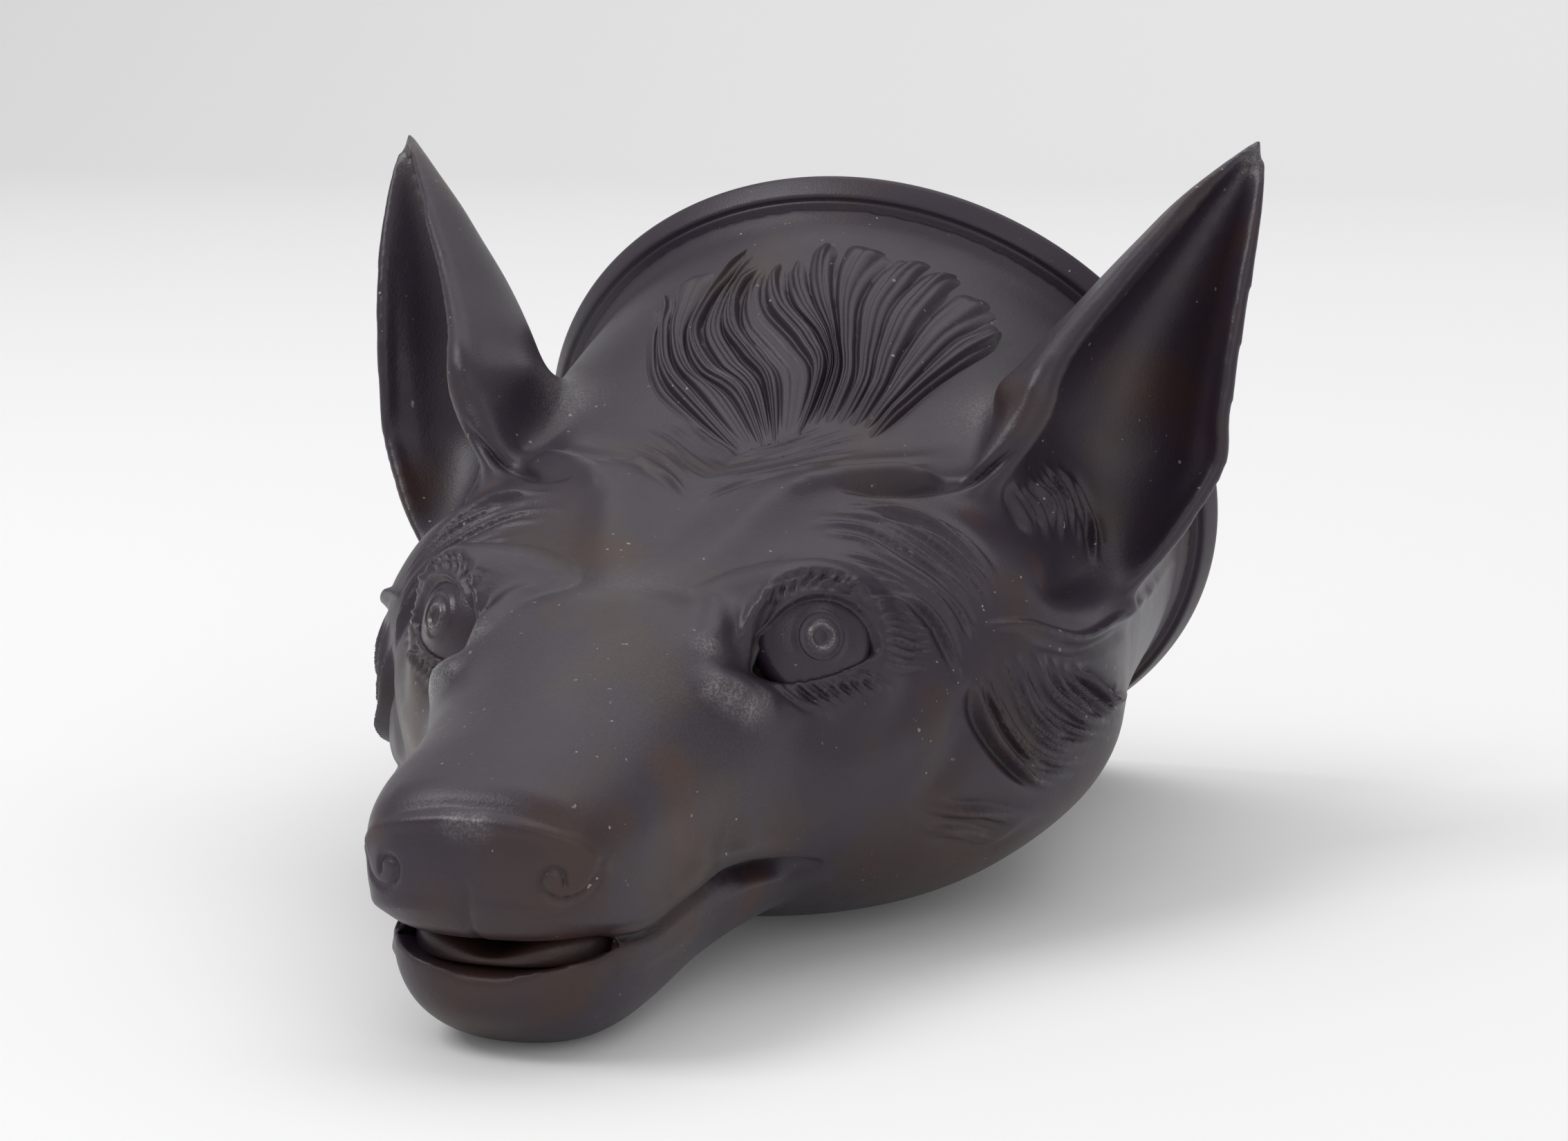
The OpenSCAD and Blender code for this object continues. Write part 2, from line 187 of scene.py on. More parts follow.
# Relief of the plain head: the brow and cheekbone lines, and swellings with their reach and height
BROW = np.array([[26, 0.7, 41], [18.8, -1.5, 40.4], [11.5, -8.5, 40.2], [7, -14.5, 38.4], [4, -22, 35.4],
                 [0, -28, 33.4]])
BROW_RISE = 1.1
BROW_REACH = 3.5
CHEEKBONE = np.array([[10, -38, 27.5], [14, -35, 25]])
CHEEKBONE_RISE = 1.0
CHEEKBONE_REACH = 3.6
SWELLINGS = [(EYE_AT, 6.5, -1.6), (np.array([33, 7, 37]), 8.0, -3.0), (np.array([36, 3, 17]), 10.0, 1.2)]

# Skin: its grain, how far smoothing moves a point in and back out, its rounds, and the most triangles
SKIN_GRAIN = 0.54
HALF_WAY = 0.5
BACK_OUT = -0.52
SKIN_SMOOTHINGS = 30
LAST_SMOOTHINGS = 2
MOST_TRIANGLES = 190000
# Joint of the ears with the head: how far off it is looked for, its reach, ease and rounds
JOINT_LIMIT = 8.0
JOINT_REACH = 4.5
JOINT_EASE = 0.55
JOINT_SMOOTHINGS = 160
# Lips, which are smoothed once more: where they end behind and above
LIPS_BACK = -38
LIPS_BACK_EASE = 6
LIPS_TOP = 14
LIPS_TOP_EASE = 2
LIPS_SMOOTHINGS = 20
# Groove down the middle of the nose: reach, depth, and where it starts and stops
PHILTRUM_REACH = 0.35
PHILTRUM_DEPTH = -0.25
PHILTRUM_TOP = 16.5
PHILTRUM_LOW = 10.2
PHILTRUM_BACK = -62.0
PHILTRUM_EASE = 2

# Cells of the photograph and depth over which one place hides another behind it, and cells round the cup
SIGHT_CELL = 12
SIGHT_DEPTH = 5.0
SIGHT_MARGIN = 40
SIGHT_SMOOTHINGS = 28
# How far past the edge of sight a stroke still shows, over what it fades, and the least that counts
FACING_PAST = 0.15
FACING_EASE = 0.25
SEEN_LEAST = 0.01
# Faces under fine strokes and round the eyes are cut smaller: largest reach, band and margin in pixels
FINE_REACH = 14
FINE_SPAN = 2.2
FINE_MARGIN = 6
EYE_FINE = 8
CUT_EASE = 0.4
CUT_SMOOTHINGS = 3
# Span of a stroke in reaches, and the hair's ends and the troughs beside it
STROKE_SPAN = 3
HAIR_EASE = 0.35
HAIR_GAIN = 1.25
HAIR_TROUGH = 0.5
HAIR_TROUGH_REACH = 2
# Waves of the fur, and the middle, swing and turn by which its strands differ
FUR_WAVE = 0.7
FUR_WAVES = 9.0
FUR_SHIFT = 0.45
FUR_POINTS = 24
FUR_START = (0.05, 0.05, 5.1)
FUR_STOP = (0.92, 0.08, 3.7)
FUR_HEIGHT = (0.8, 0.2, 2.4)
# Hollows, where the finish paints shade and roughens: the value of a flat place, the gain and the rounds of
# smoothing
HOLLOW_FLAT = 0.5
HOLLOW_GAIN = 8
HOLLOW_SMOOTHINGS = 2


def through(rows, place):
    """Smooth curve through the rows of a table, at places counted in rows."""
    rows = np.asarray(rows, float)
    place = np.asarray(place, float)
    last = len(rows) - 1
    i = np.clip(np.floor(place).astype(int), 0, last - 1)
    t = (place - i)[..., None]
    a = rows[np.maximum(i - 1, 0)]
    b = rows[i]
    c = rows[i + 1]
    d = rows[np.minimum(i + 2, last)]
    return 0.5 * (2 * b + (c - a) * t + (2 * a - 5 * b + 4 * c - d) * t**2 + (3 * b - a - 3 * c + d) * t**3)


def unit(vectors):
    """Vectors brought to length one."""
    return vectors / np.linalg.norm(vectors, axis=-1, keepdims=True)


def bell(distance, reach):
    """Smooth hump that falls away with distance."""
    return np.exp(-(distance / reach) ** 2)


def smooth_step(t):
    """Eases from 0 to 1."""
    t = np.clip(t, 0, 1)
    return t * t * (3 - 2 * t)


def section_points(place, angle, inset=0.0):
    """Points on the head's plain sections, and the ways out from their centres."""
    place, angle = np.broadcast_arrays(place, angle)
    y, z, lean, wide, up, down, square_up, square_down = np.moveaxis(through(SECTIONS, place), -1, 0)
    above = np.cos(angle) >= 0
    tall = np.where(above, up, down) - inset
    square = np.where(above, square_up, square_down)
    side_part = (np.abs(np.sin(angle)) / (wide - inset)) ** square
    tall_part = (np.abs(np.cos(angle)) / tall) ** square
    radius = (side_part + tall_part) ** (-1 / square)
    lean = np.radians(lean)
    out = np.stack([np.sin(angle), -np.sin(lean) * np.cos(angle), np.cos(lean) * np.cos(angle)], -1)
    centre = np.stack([np.zeros_like(y), y, z], -1)
    return centre + radius[..., None] * out, out, centre


def plain_relief(points):
    """Broad hollows and swellings of the head, alike on both sides."""
    points = points * np.ones(3)
    points[..., 0] = np.abs(points[..., 0])
    flat = points.reshape(-1, 3)
    rise = BROW_RISE * bell(along(flat, BROW)[0], BROW_REACH)
    rise += CHEEKBONE_RISE * bell(along(flat, CHEEKBONE)[0], CHEEKBONE_REACH)
    for place, reach, height in SWELLINGS:
        rise += height * bell(np.linalg.norm(flat - place, axis=1), reach)
    return rise.reshape(points.shape[:-1])


def head_rows():
    """Rings of the head from the nose to the groove under the lip."""
    last = len(SECTIONS) - 1
    place = last * np.linspace(0, 1, HEAD_ROWS) ** HEAD_CROWDING
    angle = np.linspace(0, 2 * math.pi, HEAD_SIDES + 1)
    points, out, _ = section_points(place[:, None], angle[None, :])
    fade = smooth_step((last - place) / RELIEF_FADE)[:, None]
    points = points + (plain_relief(points) * fade)[..., None] * out
    points[..., 2] = np.maximum(points[..., 2], 0)
    side = np.array([1.0, 0, 0])
    rise = np.cross(side, CUP_AXIS)
    spokes = np.sin(angle)[:, None] * side + np.cos(angle)[:, None] * rise
    rings = [SEAT + distance * CUP_AXIS + radius * spokes for distance, radius in NECK_RINGS]
    return np.concatenate([points, np.array(rings)])


def ear_rows():
    """Rings of the left ear from inside the head to its tip: up its back, then down through its cup."""
    top = len(EAR_INNER) - 1
    place = np.linspace(0, top, EAR_ROWS)
    inner = through(EAR_INNER, place)
    across = through(EAR_OUTER, place) - inner
    wide = np.linalg.norm(across, axis=1)
    depth = through(EAR_DEPTH, place)[:, 0]
    thick = through(EAR_WALL, place)[:, 0]
    above = through(EAR_INNER, np.minimum(place + EAR_STEP, top))
    below = through(EAR_INNER, np.maximum(place - EAR_STEP, 0))
    back = unit(np.cross(above - below, across))
    columns = []
    for i in range(2 * EAR_SIDES + 1):
        in_cup = EAR_SIDES < i < 2 * EAR_SIDES
        turn = math.pi * i / EAR_SIDES
        turn = 2 * math.pi - turn if i > EAR_SIDES else turn
        inner_rim = np.minimum(INNER_RIM_MOST, INNER_RIM * thick / wide) if in_cup else 0 * wide
        outer_rim = np.minimum(OUTER_RIM_MOST, OUTER_RIM * thick / wide) if in_cup else 0 * wide
        deep = (depth - thick if in_cup else depth) * abs(math.sin(turn)) ** EAR_ROUND
        t = inner_rim + (1 - inner_rim - outer_rim) * (1 - math.cos(turn)) / 2
        columns.append(inner + across * t[:, None] + back * deep[:, None])
    return np.stack(columns, 1)


def jaw_rows():
    """Rings of the lower jaw from the chin back into the head, with the hollowed floor of the mouth."""
    place = np.linspace(0, len(JAW) - 1, JAW_ROWS)
    angle = np.linspace(0, 2 * math.pi, JAW_SIDES + 1)[None, :]
    y, lip, wide, keel, square, floor = [v[:, None] for v in np.moveaxis(through(JAW, place), -1, 0)]
    side_part = (np.abs(np.sin(angle)) / wide) ** square
    tall_part = (np.abs(np.cos(angle)) / (lip - keel)) ** square
    radius = (side_part + tall_part) ** (-1 / square)
    x = radius * np.sin(angle)
    mouth = lip - floor * (1 - np.minimum(1, np.abs(x) / wide) ** MOUTH_SQUARE)
    z = np.where(np.cos(angle) < 0, lip + radius * np.cos(angle), mouth)
    return np.stack([x, y + 0 * x, np.maximum(z, 0)], -1)


def cavity_rows():
    """Rings of the drinking bowl from its rounded front to the collar's seat."""
    last = len(SECTIONS) - 1
    t = np.linspace(0, 1, CAVITY_ROWS)[:, None]
    angle = np.linspace(0, 2 * math.pi, CAVITY_SIDES + 1)[None, :]
    place = CAVITY_START + (last - CAVITY_START) * t
    close = np.sqrt(1 - (1 - np.minimum(1, t * CAVITY_OPENING + CAVITY_TIP)) ** 2)
    points, _, centre = section_points(place, angle, WALL)
    return centre + close[..., None] * (points - centre)


def deselect():
    """Leaves nothing selected."""
    if bpy.context.mode != "OBJECT":
        bpy.ops.object.mode_set(mode="OBJECT")
    bpy.ops.object.select_all(action="DESELECT")


def pick(*pieces):
    """Selects these pieces alone, the first one active."""
    deselect()
    for piece in pieces:
        piece.select_set(True)
    bpy.context.view_layer.objects.active = pieces[0]


def edit_all():
    """Enters edit mode with all of the active piece selected."""
    bpy.ops.object.mode_set(mode="EDIT")
    bpy.ops.mesh.select_all(action="SELECT")


def turn_faces(piece, inside):
    """Makes all faces of a piece point inwards or outwards."""
    pick(piece)
    edit_all()
    bpy.ops.mesh.normals_make_consistent(inside=inside)
    bpy.ops.object.mode_set(mode="OBJECT")


def wrapped_grid(name, rows, caps=True):
    """A grid whose rows are wrapped into rings, sewn along the seam and, with caps, closed at the ends."""
    deselect()
    count, around = rows.shape[:2]
    bpy.ops.mesh.primitive_grid_add(x_subdivisions=around - 1, y_subdivisions=count - 1, size=1)
    piece = bpy.context.object
    piece.name = name
    piece.data.name = name
    write_points(piece.data, rows.reshape(-1, 3))
    edit_all()
    bpy.ops.mesh.remove_doubles(threshold=WELD)
    if caps:
        bpy.ops.mesh.fill_holes(sides=0)
    bpy.ops.mesh.normals_make_consistent(inside=False)
    bpy.ops.object.mode_set(mode="OBJECT")
    return piece


def values_of(items, name, width=3, kind=float):
    """One value of all points, edges or faces of a mesh, as an array."""
    flat = np.empty(len(items) * width, kind)
    items.foreach_get(name, flat)
    return flat.reshape(-1, width)


def read_points(mesh):
    """Places of a mesh's points."""
    return values_of(mesh.vertices, "co")


def write_points(mesh, points):
    """Moves a mesh's points."""
    mesh.vertices.foreach_set("co", np.ascontiguousarray(points, float).ravel())
    mesh.update()


def read_normals(mesh):
    """Normals at a mesh's points."""
    return values_of(mesh.vertices, "normal")


def read_edges(mesh):
    """Pairs of points that a mesh's edges join."""
    return values_of(mesh.edges, "vertices", 2, int)


def face_centres(mesh):
    """Centres of a mesh's faces."""
    return values_of(mesh.polygons, "center")


def tree_of(mesh):
    """Search tree over a mesh's faces."""
    corners = [vertex.co for vertex in mesh.vertices]
    return BVHTree.FromPolygons(corners, [polygon.vertices for polygon in mesh.polygons])


def distance_to(tree, points, limit):
    """Distance of each point from a tree's faces, up to a limit."""
    result = np.full(len(points), limit)
    for i, point in enumerate(points):
        found = tree.find_nearest(Vector(point), limit)
        if found[3] is not None:
            result[i] = found[3]
    return result


def neighbour_mean(points, edges):
    """Mean place of each point's neighbours."""
    a, b = edges.T
    count = len(points)
    share = np.bincount(a, minlength=count) + np.bincount(b, minlength=count)
    total = np.empty_like(points)
    for axis in range(points.shape[1]):
        total[:, axis] = np.bincount(a, points[b, axis], count) + np.bincount(b, points[a, axis], count)
    return total / np.maximum(share, 1)[:, None]


def relax(points, edges, weight, rounds):
    """Smooths points towards their neighbours, each by its own weight."""
    for _ in range(rounds):
        points = points + weight[:, None] * (neighbour_mean(points, edges) - points)
    return points


def camera_ways():
    """Ways right, up and back of the camera."""
    right = np.array([math.cos(CAMERA_TURN), math.sin(CAMERA_TURN), 0])
    back = camera_back()
    return right, np.cross(back, right), back


def sight_lines(pixels):
    """Ways from the camera through pixels of the photograph."""
    right, up, back = camera_ways()
    pixels = np.asarray(pixels, float)
    across = (pixels[..., :1] - PHOTO_WIDE / 2) / FOCAL_PX
    down = (pixels[..., 1:] - PHOTO_TALL / 2) / FOCAL_PX
    return unit(across * right - down * up - back)


def pixels_of(points):
    """Pixels of the photograph where points fall, and how far they are from the camera."""
    right, up, back = camera_ways()
    away = points - camera_place()
    depth = -(away @ back)
    across = PHOTO_WIDE / 2 + FOCAL_PX * (away @ right) / depth
    down = PHOTO_TALL / 2 - FOCAL_PX * (away @ up) / depth
    return np.stack([across, down], -1), depth


def camera_back():
    """Way from the cup to the camera."""
    level = math.cos(CAMERA_RISE)
    return np.array([math.sin(CAMERA_TURN) * level, -math.cos(CAMERA_TURN) * level, math.sin(CAMERA_RISE)])


def camera_place():
    """Where the camera stands."""
    return CAMERA_AIM + CAMERA_REACH * camera_back()


def drop(tree, pixels):
    """Points of the photograph laid on the skin along the camera's lines of sight."""
    eye = Vector(camera_place())
    found = []
    for way in sight_lines(pixels).reshape(-1, 3):
        hit = tree.ray_cast(eye, Vector(way))[0]
        if hit is None:
            near = eye + Vector(way) * CAMERA_REACH
            hit = tree.find_nearest(near)[0]
        found.append(hit)
    return np.array(found)


def fine_line(line, steps=5):
    """A line with smooth bends between its points."""
    last = len(line) - 1
    return through(line, np.linspace(0, last, steps * last + 1))


def mirrored(points):
    """The same points on the other side of the head."""
    return points * np.array([-1.0, 1, 1])


def along(points, line):
    """Distance of each point from a line, and how far along it the nearest place lies, from 0 to 1."""
    spans = np.diff(line, axis=0)
    lengths = np.linalg.norm(spans, axis=1)
    starts = np.concatenate([[0], np.cumsum(lengths)])
    nearest = np.full(len(points), np.inf)
    where = np.zeros(len(points))
    for i, span in enumerate(spans):
        t = np.clip((points - line[i]) @ span / (span @ span + TINY_SQUARE), 0, 1)
        away = np.linalg.norm(points - line[i] - t[:, None] * span, axis=1)
        closer = away < nearest
        nearest[closer] = away[closer]
        where[closer] = ((starts[i] + t * lengths[i]) / starts[-1])[closer]
    return nearest, where


def spread_along(values, where):
    """One value, or values spaced evenly along a line, at places from 0 to 1."""
    values = np.atleast_1d(np.asarray(values, float))
    return np.interp(where, np.linspace(0, 1, len(values)), values)


def within(pixels, line, span):
    """Marks the pixels in the box round a line, widened by a span."""
    return np.all((pixels > line.min(0) - span) & (pixels < line.max(0) + span), axis=1)


def stroke(pixels, weight, lift, line, reach, height, hair):
    """Adds a rounded ridge along a line to the skin's lift, or a groove where the height is negative."""
    span = STROKE_SPAN * np.max(reach)
    near = np.flatnonzero(within(pixels, line, span) & (weight > SEEN_LEAST))
    if len(near) == 0:
        return
    away, where = along(pixels[near], line)
    width = spread_along(reach, where)
    shape = weight[near] * bell(away, width)
    if hair:
        shape = HAIR_GAIN * (shape - HAIR_TROUGH * weight[near] * bell(away, HAIR_TROUGH_REACH * width))
        shape = shape * smooth_step(where / HAIR_EASE) * smooth_step((1 - where) / HAIR_EASE)
    lift[near] += spread_along(height, where) * shape


# Strokes of the face in pixels of the photograph: name, side of the fox, line, reach and height.
# The fox's left side is NEAR the camera and its right side FAR, and each stroke is mirrored to the other.
NEAR = 1
FAR = -1
RIDGES = [
    ("brow roll", NEAR, [(1400, 655), (1330, 672), (1250, 680), (1180, 690), (1125, 712), (1085, 748),
                         (1040, 790), (990, 828), (940, 848), (895, 850)],
     [18, 16, 15, 16, 20, 26, 30, 32, 32, 32], [0.0, 0.5, 0.7, 0.7, 0.6, 0.5, 0.35, 0.25, 0.2, 0.2]),
    ("crease under the brow", NEAR, [(1482, 630), (1455, 662), (1405, 692), (1340, 705), (1270, 708),
                                     (1205, 706)], [7, 8, 8, 8, 7, 5], [0, -0.9, -1.1, -1.1, -0.9, 0]),
    ("inner lid strand", NEAR, [(1070, 928), (1084, 895), (1102, 865), (1122, 838)], 8,
     [0.2, 0.7, 0.7, 0.2]),
    ("inner corner crease", NEAR, [(1100, 972), (1096, 940), (1103, 905), (1116, 878)], 7,
     [-0.5, -0.8, -0.6, 0]),
    ("tear crease", NEAR, [(1115, 972), (1070, 964), (1020, 958)], 11, [-0.5, -0.5, 0]),
    ("flew edge", NEAR, [(1022, 1180), (1018, 1225), (1000, 1265), (965, 1305)], 18, [0, 0.35, 0.35, 0]),
    ("fold behind the flew", NEAR, [(1062, 1175), (1058, 1215), (1040, 1248)], 16, [0, -0.3, -0.2]),
    ("upper lip roll", NEAR, [(700, 1318), (800, 1325), (880, 1328), (935, 1318), (985, 1280), (1030, 1246),
                              (1090, 1230), (1180, 1232)], 12, [0.2, 0.3, 0.3, 0.35, 0.4, 0.4, 0.4, 0.1]),
    ("mouth line", NEAR, [(868, 1366), (905, 1360), (945, 1348), (1000, 1304), (1045, 1272), (1085, 1258),
                          (1130, 1252), (1185, 1247)],
     [7, 6, 6, 6, 6, 8, 8, 4], [-1.0, -1.0, -0.9, -0.9, -1.2, -1.7, -1.7, -0.3]),
    ("lower lip roll", NEAR, [(900, 1398), (960, 1372), (1015, 1325), (1065, 1290), (1120, 1274),
                              (1190, 1264)], 11, [0.25, 0.3, 0.4, 0.45, 0.4, 0.1]),
    ("upper nose ridge", NEAR, [(540, 1165), (600, 1156), (650, 1143), (700, 1138), (760, 1144),
                                (820, 1160)], 18, 0.14),
    ("crease over the nose pad", NEAR, [(540, 1190), (600, 1180), (650, 1171), (700, 1168), (750, 1177),
                                        (800, 1196), (848, 1222)],
     9, [-0.15, -0.15, -0.15, -0.15, -0.15, -0.12, 0]),
    ("nose pad rim", NEAR, [(540, 1210), (600, 1200), (650, 1191), (700, 1190), (750, 1198), (800, 1208),
                            (845, 1226), (868, 1250)], 12, 0.32),
    ("nostril", NEAR, [(868, 1246), (862, 1274), (840, 1296), (808, 1302), (785, 1288), (782, 1267),
                       (798, 1256), (816, 1262), (818, 1278)],
     [6, 6, 5, 5, 5, 4.5, 4.5, 4, 4], [-0.2, -0.3, -0.35, -0.35, -0.35, -0.35, -0.35, -0.4, -0.4]),
    ("lower ear rim", NEAR, [(1692, 812), (1648, 866), (1602, 905), (1562, 923), (1520, 915), (1482, 904),
                             (1436, 904)], [8, 7, 7, 7, 7, 7, 6], [0.3, 0.7, 0.9, 0.9, 0.8, 0.8, 0.2]),
    ("crease under the ear rim", NEAR, [(1640, 900), (1600, 926), (1560, 942), (1515, 935), (1470, 922)], 9,
     [0, -0.4, -0.5, -0.4, 0]),
    ("cheek muscle", NEAR, [(1150, 1130), (1220, 1110), (1300, 1065), (1350, 1040)], 42, [0, 0.6, 0.7, 0.3]),
    ("cheek fold", NEAR, [(1395, 990), (1390, 1060), (1365, 1120), (1310, 1170)], 22, [0, -0.6, -0.6, 0]),
]
# Fans of fur: name, side, guide lines from root to tip, number of strands, reach, height
FUR = [
    ("upper lashes", NEAR, [[(1098, 884), (1104, 864), (1114, 842)], [(1150, 856), (1160, 838), (1172, 822)],
                            [(1212, 852), (1228, 843), (1252, 838)]], 9, 4.6, 0.8),
    ("outer lashes", NEAR, [[(1240, 858), (1290, 868), (1342, 884)], [(1264, 905), (1314, 908), (1366, 918)],
                            [(1264, 952), (1312, 962), (1352, 970)]], 10, 4.6, 0.6),
    ("lower lashes", NEAR, [[(1244, 972), (1266, 983), (1294, 996)],
                            [(1180, 982), (1212, 996), (1246, 1014)],
                            [(1112, 988), (1158, 1014), (1210, 1042)]], 9, 4.6, 0.7),
    ("temple", NEAR, [[(1205, 722), (1290, 735), (1370, 765), (1425, 810), (1455, 860)],
                      [(1165, 742), (1260, 752), (1345, 790), (1405, 840), (1440, 900)],
                      [(1160, 768), (1250, 778), (1325, 815), (1390, 868), (1425, 930)],
                      [(1200, 800), (1270, 812), (1335, 850), (1380, 900), (1405, 960)],
                      [(1265, 850), (1315, 868), (1350, 900), (1375, 945), (1388, 1000)]], 16, 4.9, 1.2),
    ("cheek", NEAR, [[(1408, 975), (1418, 1030), (1445, 1085), (1492, 1125), (1548, 1132)],
                     [(1430, 945), (1442, 1000), (1470, 1055), (1520, 1098), (1572, 1105)],
                     [(1465, 935), (1478, 985), (1505, 1032), (1548, 1068), (1595, 1070)],
                     [(1505, 940), (1518, 978), (1545, 1015), (1582, 1040), (1615, 1030)],
                     [(1550, 950), (1565, 975), (1590, 998), (1615, 1008), (1634, 995)]], 17, 5.8, 2.3),
    ("jowl", NEAR, [[(1330, 1150), (1400, 1172), (1460, 1180), (1520, 1165)],
                    [(1310, 1200), (1380, 1212), (1430, 1210), (1480, 1195)]], 5, 7, 0.9),
    ("ear tuft", NEAR, [[(1462, 690), (1462, 720), (1475, 755), (1500, 785)],
                        [(1485, 670), (1495, 710), (1515, 750), (1535, 792)],
                        [(1510, 662), (1530, 700), (1550, 745), (1566, 800)],
                        [(1535, 672), (1560, 710), (1582, 760), (1594, 825)]], 11, 5.0, 1.5),
    ("forehead", FAR, [[(905, 655), (945, 680), (980, 705), (1008, 724)],
                       [(905, 628), (955, 655), (1000, 684), (1035, 705)],
                       [(940, 610), (990, 638), (1032, 666), (1062, 690)],
                       [(990, 608), (1025, 632), (1055, 658), (1080, 682)]], 12, 4.8, 0.6),
]
# Swellings and hollows: name, side, pixel, reach, height
DABS = [
    ("ear tuft", NEAR, (1512, 738), 42, 1.4),
    ("hollow below the ear tuft", NEAR, (1542, 835), 32, -2.0),
    ("inner brow swelling, top", NEAR, (1036, 882), 22, 0.8),
    ("inner brow swelling, foot", NEAR, (1031, 918), 22, 0.9),
    ("cheekbone, inside", NEAR, (1030, 990), 24, 0.9),
    ("cheekbone, middle", NEAR, (1064, 1004), 26, 1.0),
    ("cheekbone, outside", NEAR, (1100, 1018), 26, 1.0),
    ("cheekbone, end", NEAR, (1140, 1032), 24, 0.7),
]
# Places polished by hands, with a highlight painted on them in a lighter colour: pixel, reach, strength
RUBBED_AND_HIGHLIGHTS = [((1036, 994), 1.3, 0.9), ((1062, 1006), 1.5, 1.0), ((1088, 1024), 1.4, 1.0),
          ((1108, 1004), 1.3, 0.9), ((1024, 932), 1.1, 0.9), ((660, 1190), 1.0, 0.9), ((805, 565), 4.0, 0.6),
          ((1818, 214), 3.0, 0.8), ((940, 846), 4.0, 0.3), ((650, 1010), 14.0, 0.1)]
# Places where the body fired brown: pixel, reach, strength
BROWNED = [((975, 1120), 3.6, 0.9), ((985, 1200), 3.2, 0.8), ((900, 1190), 3.0, 0.5),
           ((1085, 1300), 3.0, 0.8), ((1000, 1345), 2.6, 0.7), ((1640, 560), 5.0, 0.7),
           ((1600, 640), 4.0, 0.5), ((1350, 1010), 3.0, 0.4), ((1505, 835), 3.0, 0.6),
           ((1400, 745), 3.0, 0.5), ((840, 1225), 2.0, 0.5)]

# Locks of the forelock from the left of the photograph to the right, each from its root to its tip
LOCKS = [
    [(1010, 640), (960, 600), (930, 560), (925, 510), (930, 468), (922, 440), (905, 428)],
    [(1035, 640), (990, 590), (955, 545), (950, 490), (958, 452), (945, 424), (922, 412)],
    [(1055, 632), (1010, 575), (975, 530), (970, 480), (978, 440), (972, 415), (950, 400)],
    [(1078, 625), (1058, 580), (1010, 540), (995, 490), (1015, 440), (1045, 390), (1075, 350)],
    [(1093, 618), (1083, 570), (1040, 530), (1016, 485), (1032, 440), (1062, 395), (1095, 345)],
    [(1106, 612), (1105, 565), (1070, 520), (1045, 480), (1052, 440), (1076, 400), (1110, 360)],
    [(1120, 608), (1126, 560), (1105, 520), (1077, 480), (1074, 440), (1092, 400), (1130, 355)],
    [(1150, 605), (1175, 550), (1155, 500), (1112, 450), (1105, 410), (1122, 370), (1150, 340)],
    [(1168, 602), (1195, 545), (1183, 490), (1145, 445), (1134, 405), (1146, 360), (1170, 335)],
    [(1183, 602), (1204, 545), (1200, 490), (1178, 440), (1172, 400), (1182, 350), (1195, 330)],
    [(1196, 608), (1215, 550), (1214, 490), (1210, 435), (1213, 390), (1222, 355), (1235, 340)],
    [(1208, 616), (1234, 560), (1240, 500), (1244, 445), (1262, 405), (1285, 380), (1315, 368)],
    [(1220, 624), (1255, 565), (1268, 510), (1284, 455), (1314, 418), (1340, 398), (1375, 385)],
    [(1230, 632), (1275, 575), (1300, 525), (1332, 475), (1366, 440), (1390, 420), (1420, 405)],
    [(1240, 640), (1290, 590), (1332, 545), (1378, 500), (1420, 475), (1450, 455), (1472, 425)],
    [(1250, 650), (1305, 603), (1350, 565), (1398, 532), (1432, 512), (1455, 495), (1472, 465)],
    [(1258, 656), (1320, 622), (1365, 595), (1400, 572), (1422, 555), (1436, 540), (1446, 520)],
]
LOCK_COLUMNS = 340
LOCK_ROWS = 150
# Roots are drawn towards one pixel, apart from those of the last locks
LOCK_MEETING = np.array([1128.0, 700.0])
LOCK_DRAWN = 0.6
LOCK_FREE = 13
LOCK_GIVE = 6
# A row that steps further than this has lost the crown, and is carried on from the rows before it
LOCK_STEP = 2.5
LOCK_CARRY = 0.5
# Height of the locks: the bed under them, their bodies and their strands
LOCK_RISE = 1.55
LOCK_SUNK = 0.3
LOCK_BED = 0.15
LOCK_BODY = 0.63
LOCK_STRANDS = 0.22
# How a lock sways, differs in length and height, and tapers to its tip
LOCK_SWAY = 0.12
LOCK_SWAY_TURN = 1.7
LOCK_SWAY_WAVE = 6
LOCK_SHORTEST = 0.8
LOCK_LENGTH_SWING = 0.2
LOCK_LENGTH_TURN = 12.9898
LOCK_MIDDLE_RISE = 0.8
LOCK_RISE_SWING = 0.2
LOCK_RISE_TURN = 78.233
LOCK_ROUND = 0.7
LOCK_SHARPENING = 3
LOCK_TAPER = 0.35
# Where the patch fades: at roots and tips in lengths, and at its left and right sides in locks
LOCK_ROOT = 0.17
LOCK_TIP = 0.16
LOCK_LEFT = 1.4
LOCK_RIGHT = 1.8
STRANDS_PER_LOCK = 3
STRAND_SWAY = 0.8
STRAND_WAVE = 5
STRAND_TURN = 2
STRAND_ROUND = 0.8


def spread(guides, count):
    """Lines laid evenly between guide lines."""
    points = len(guides[0])
    flat = np.array(guides, float).reshape(len(guides), -1)
    lines = through(flat, np.linspace(0, len(guides) - 1, count))
    return lines.reshape(count, points, 2)


def varied(number, middle, swing, turn):
    """A value that differs from strand to strand, always in the same way."""
    return middle + swing * math.sin(turn * number)


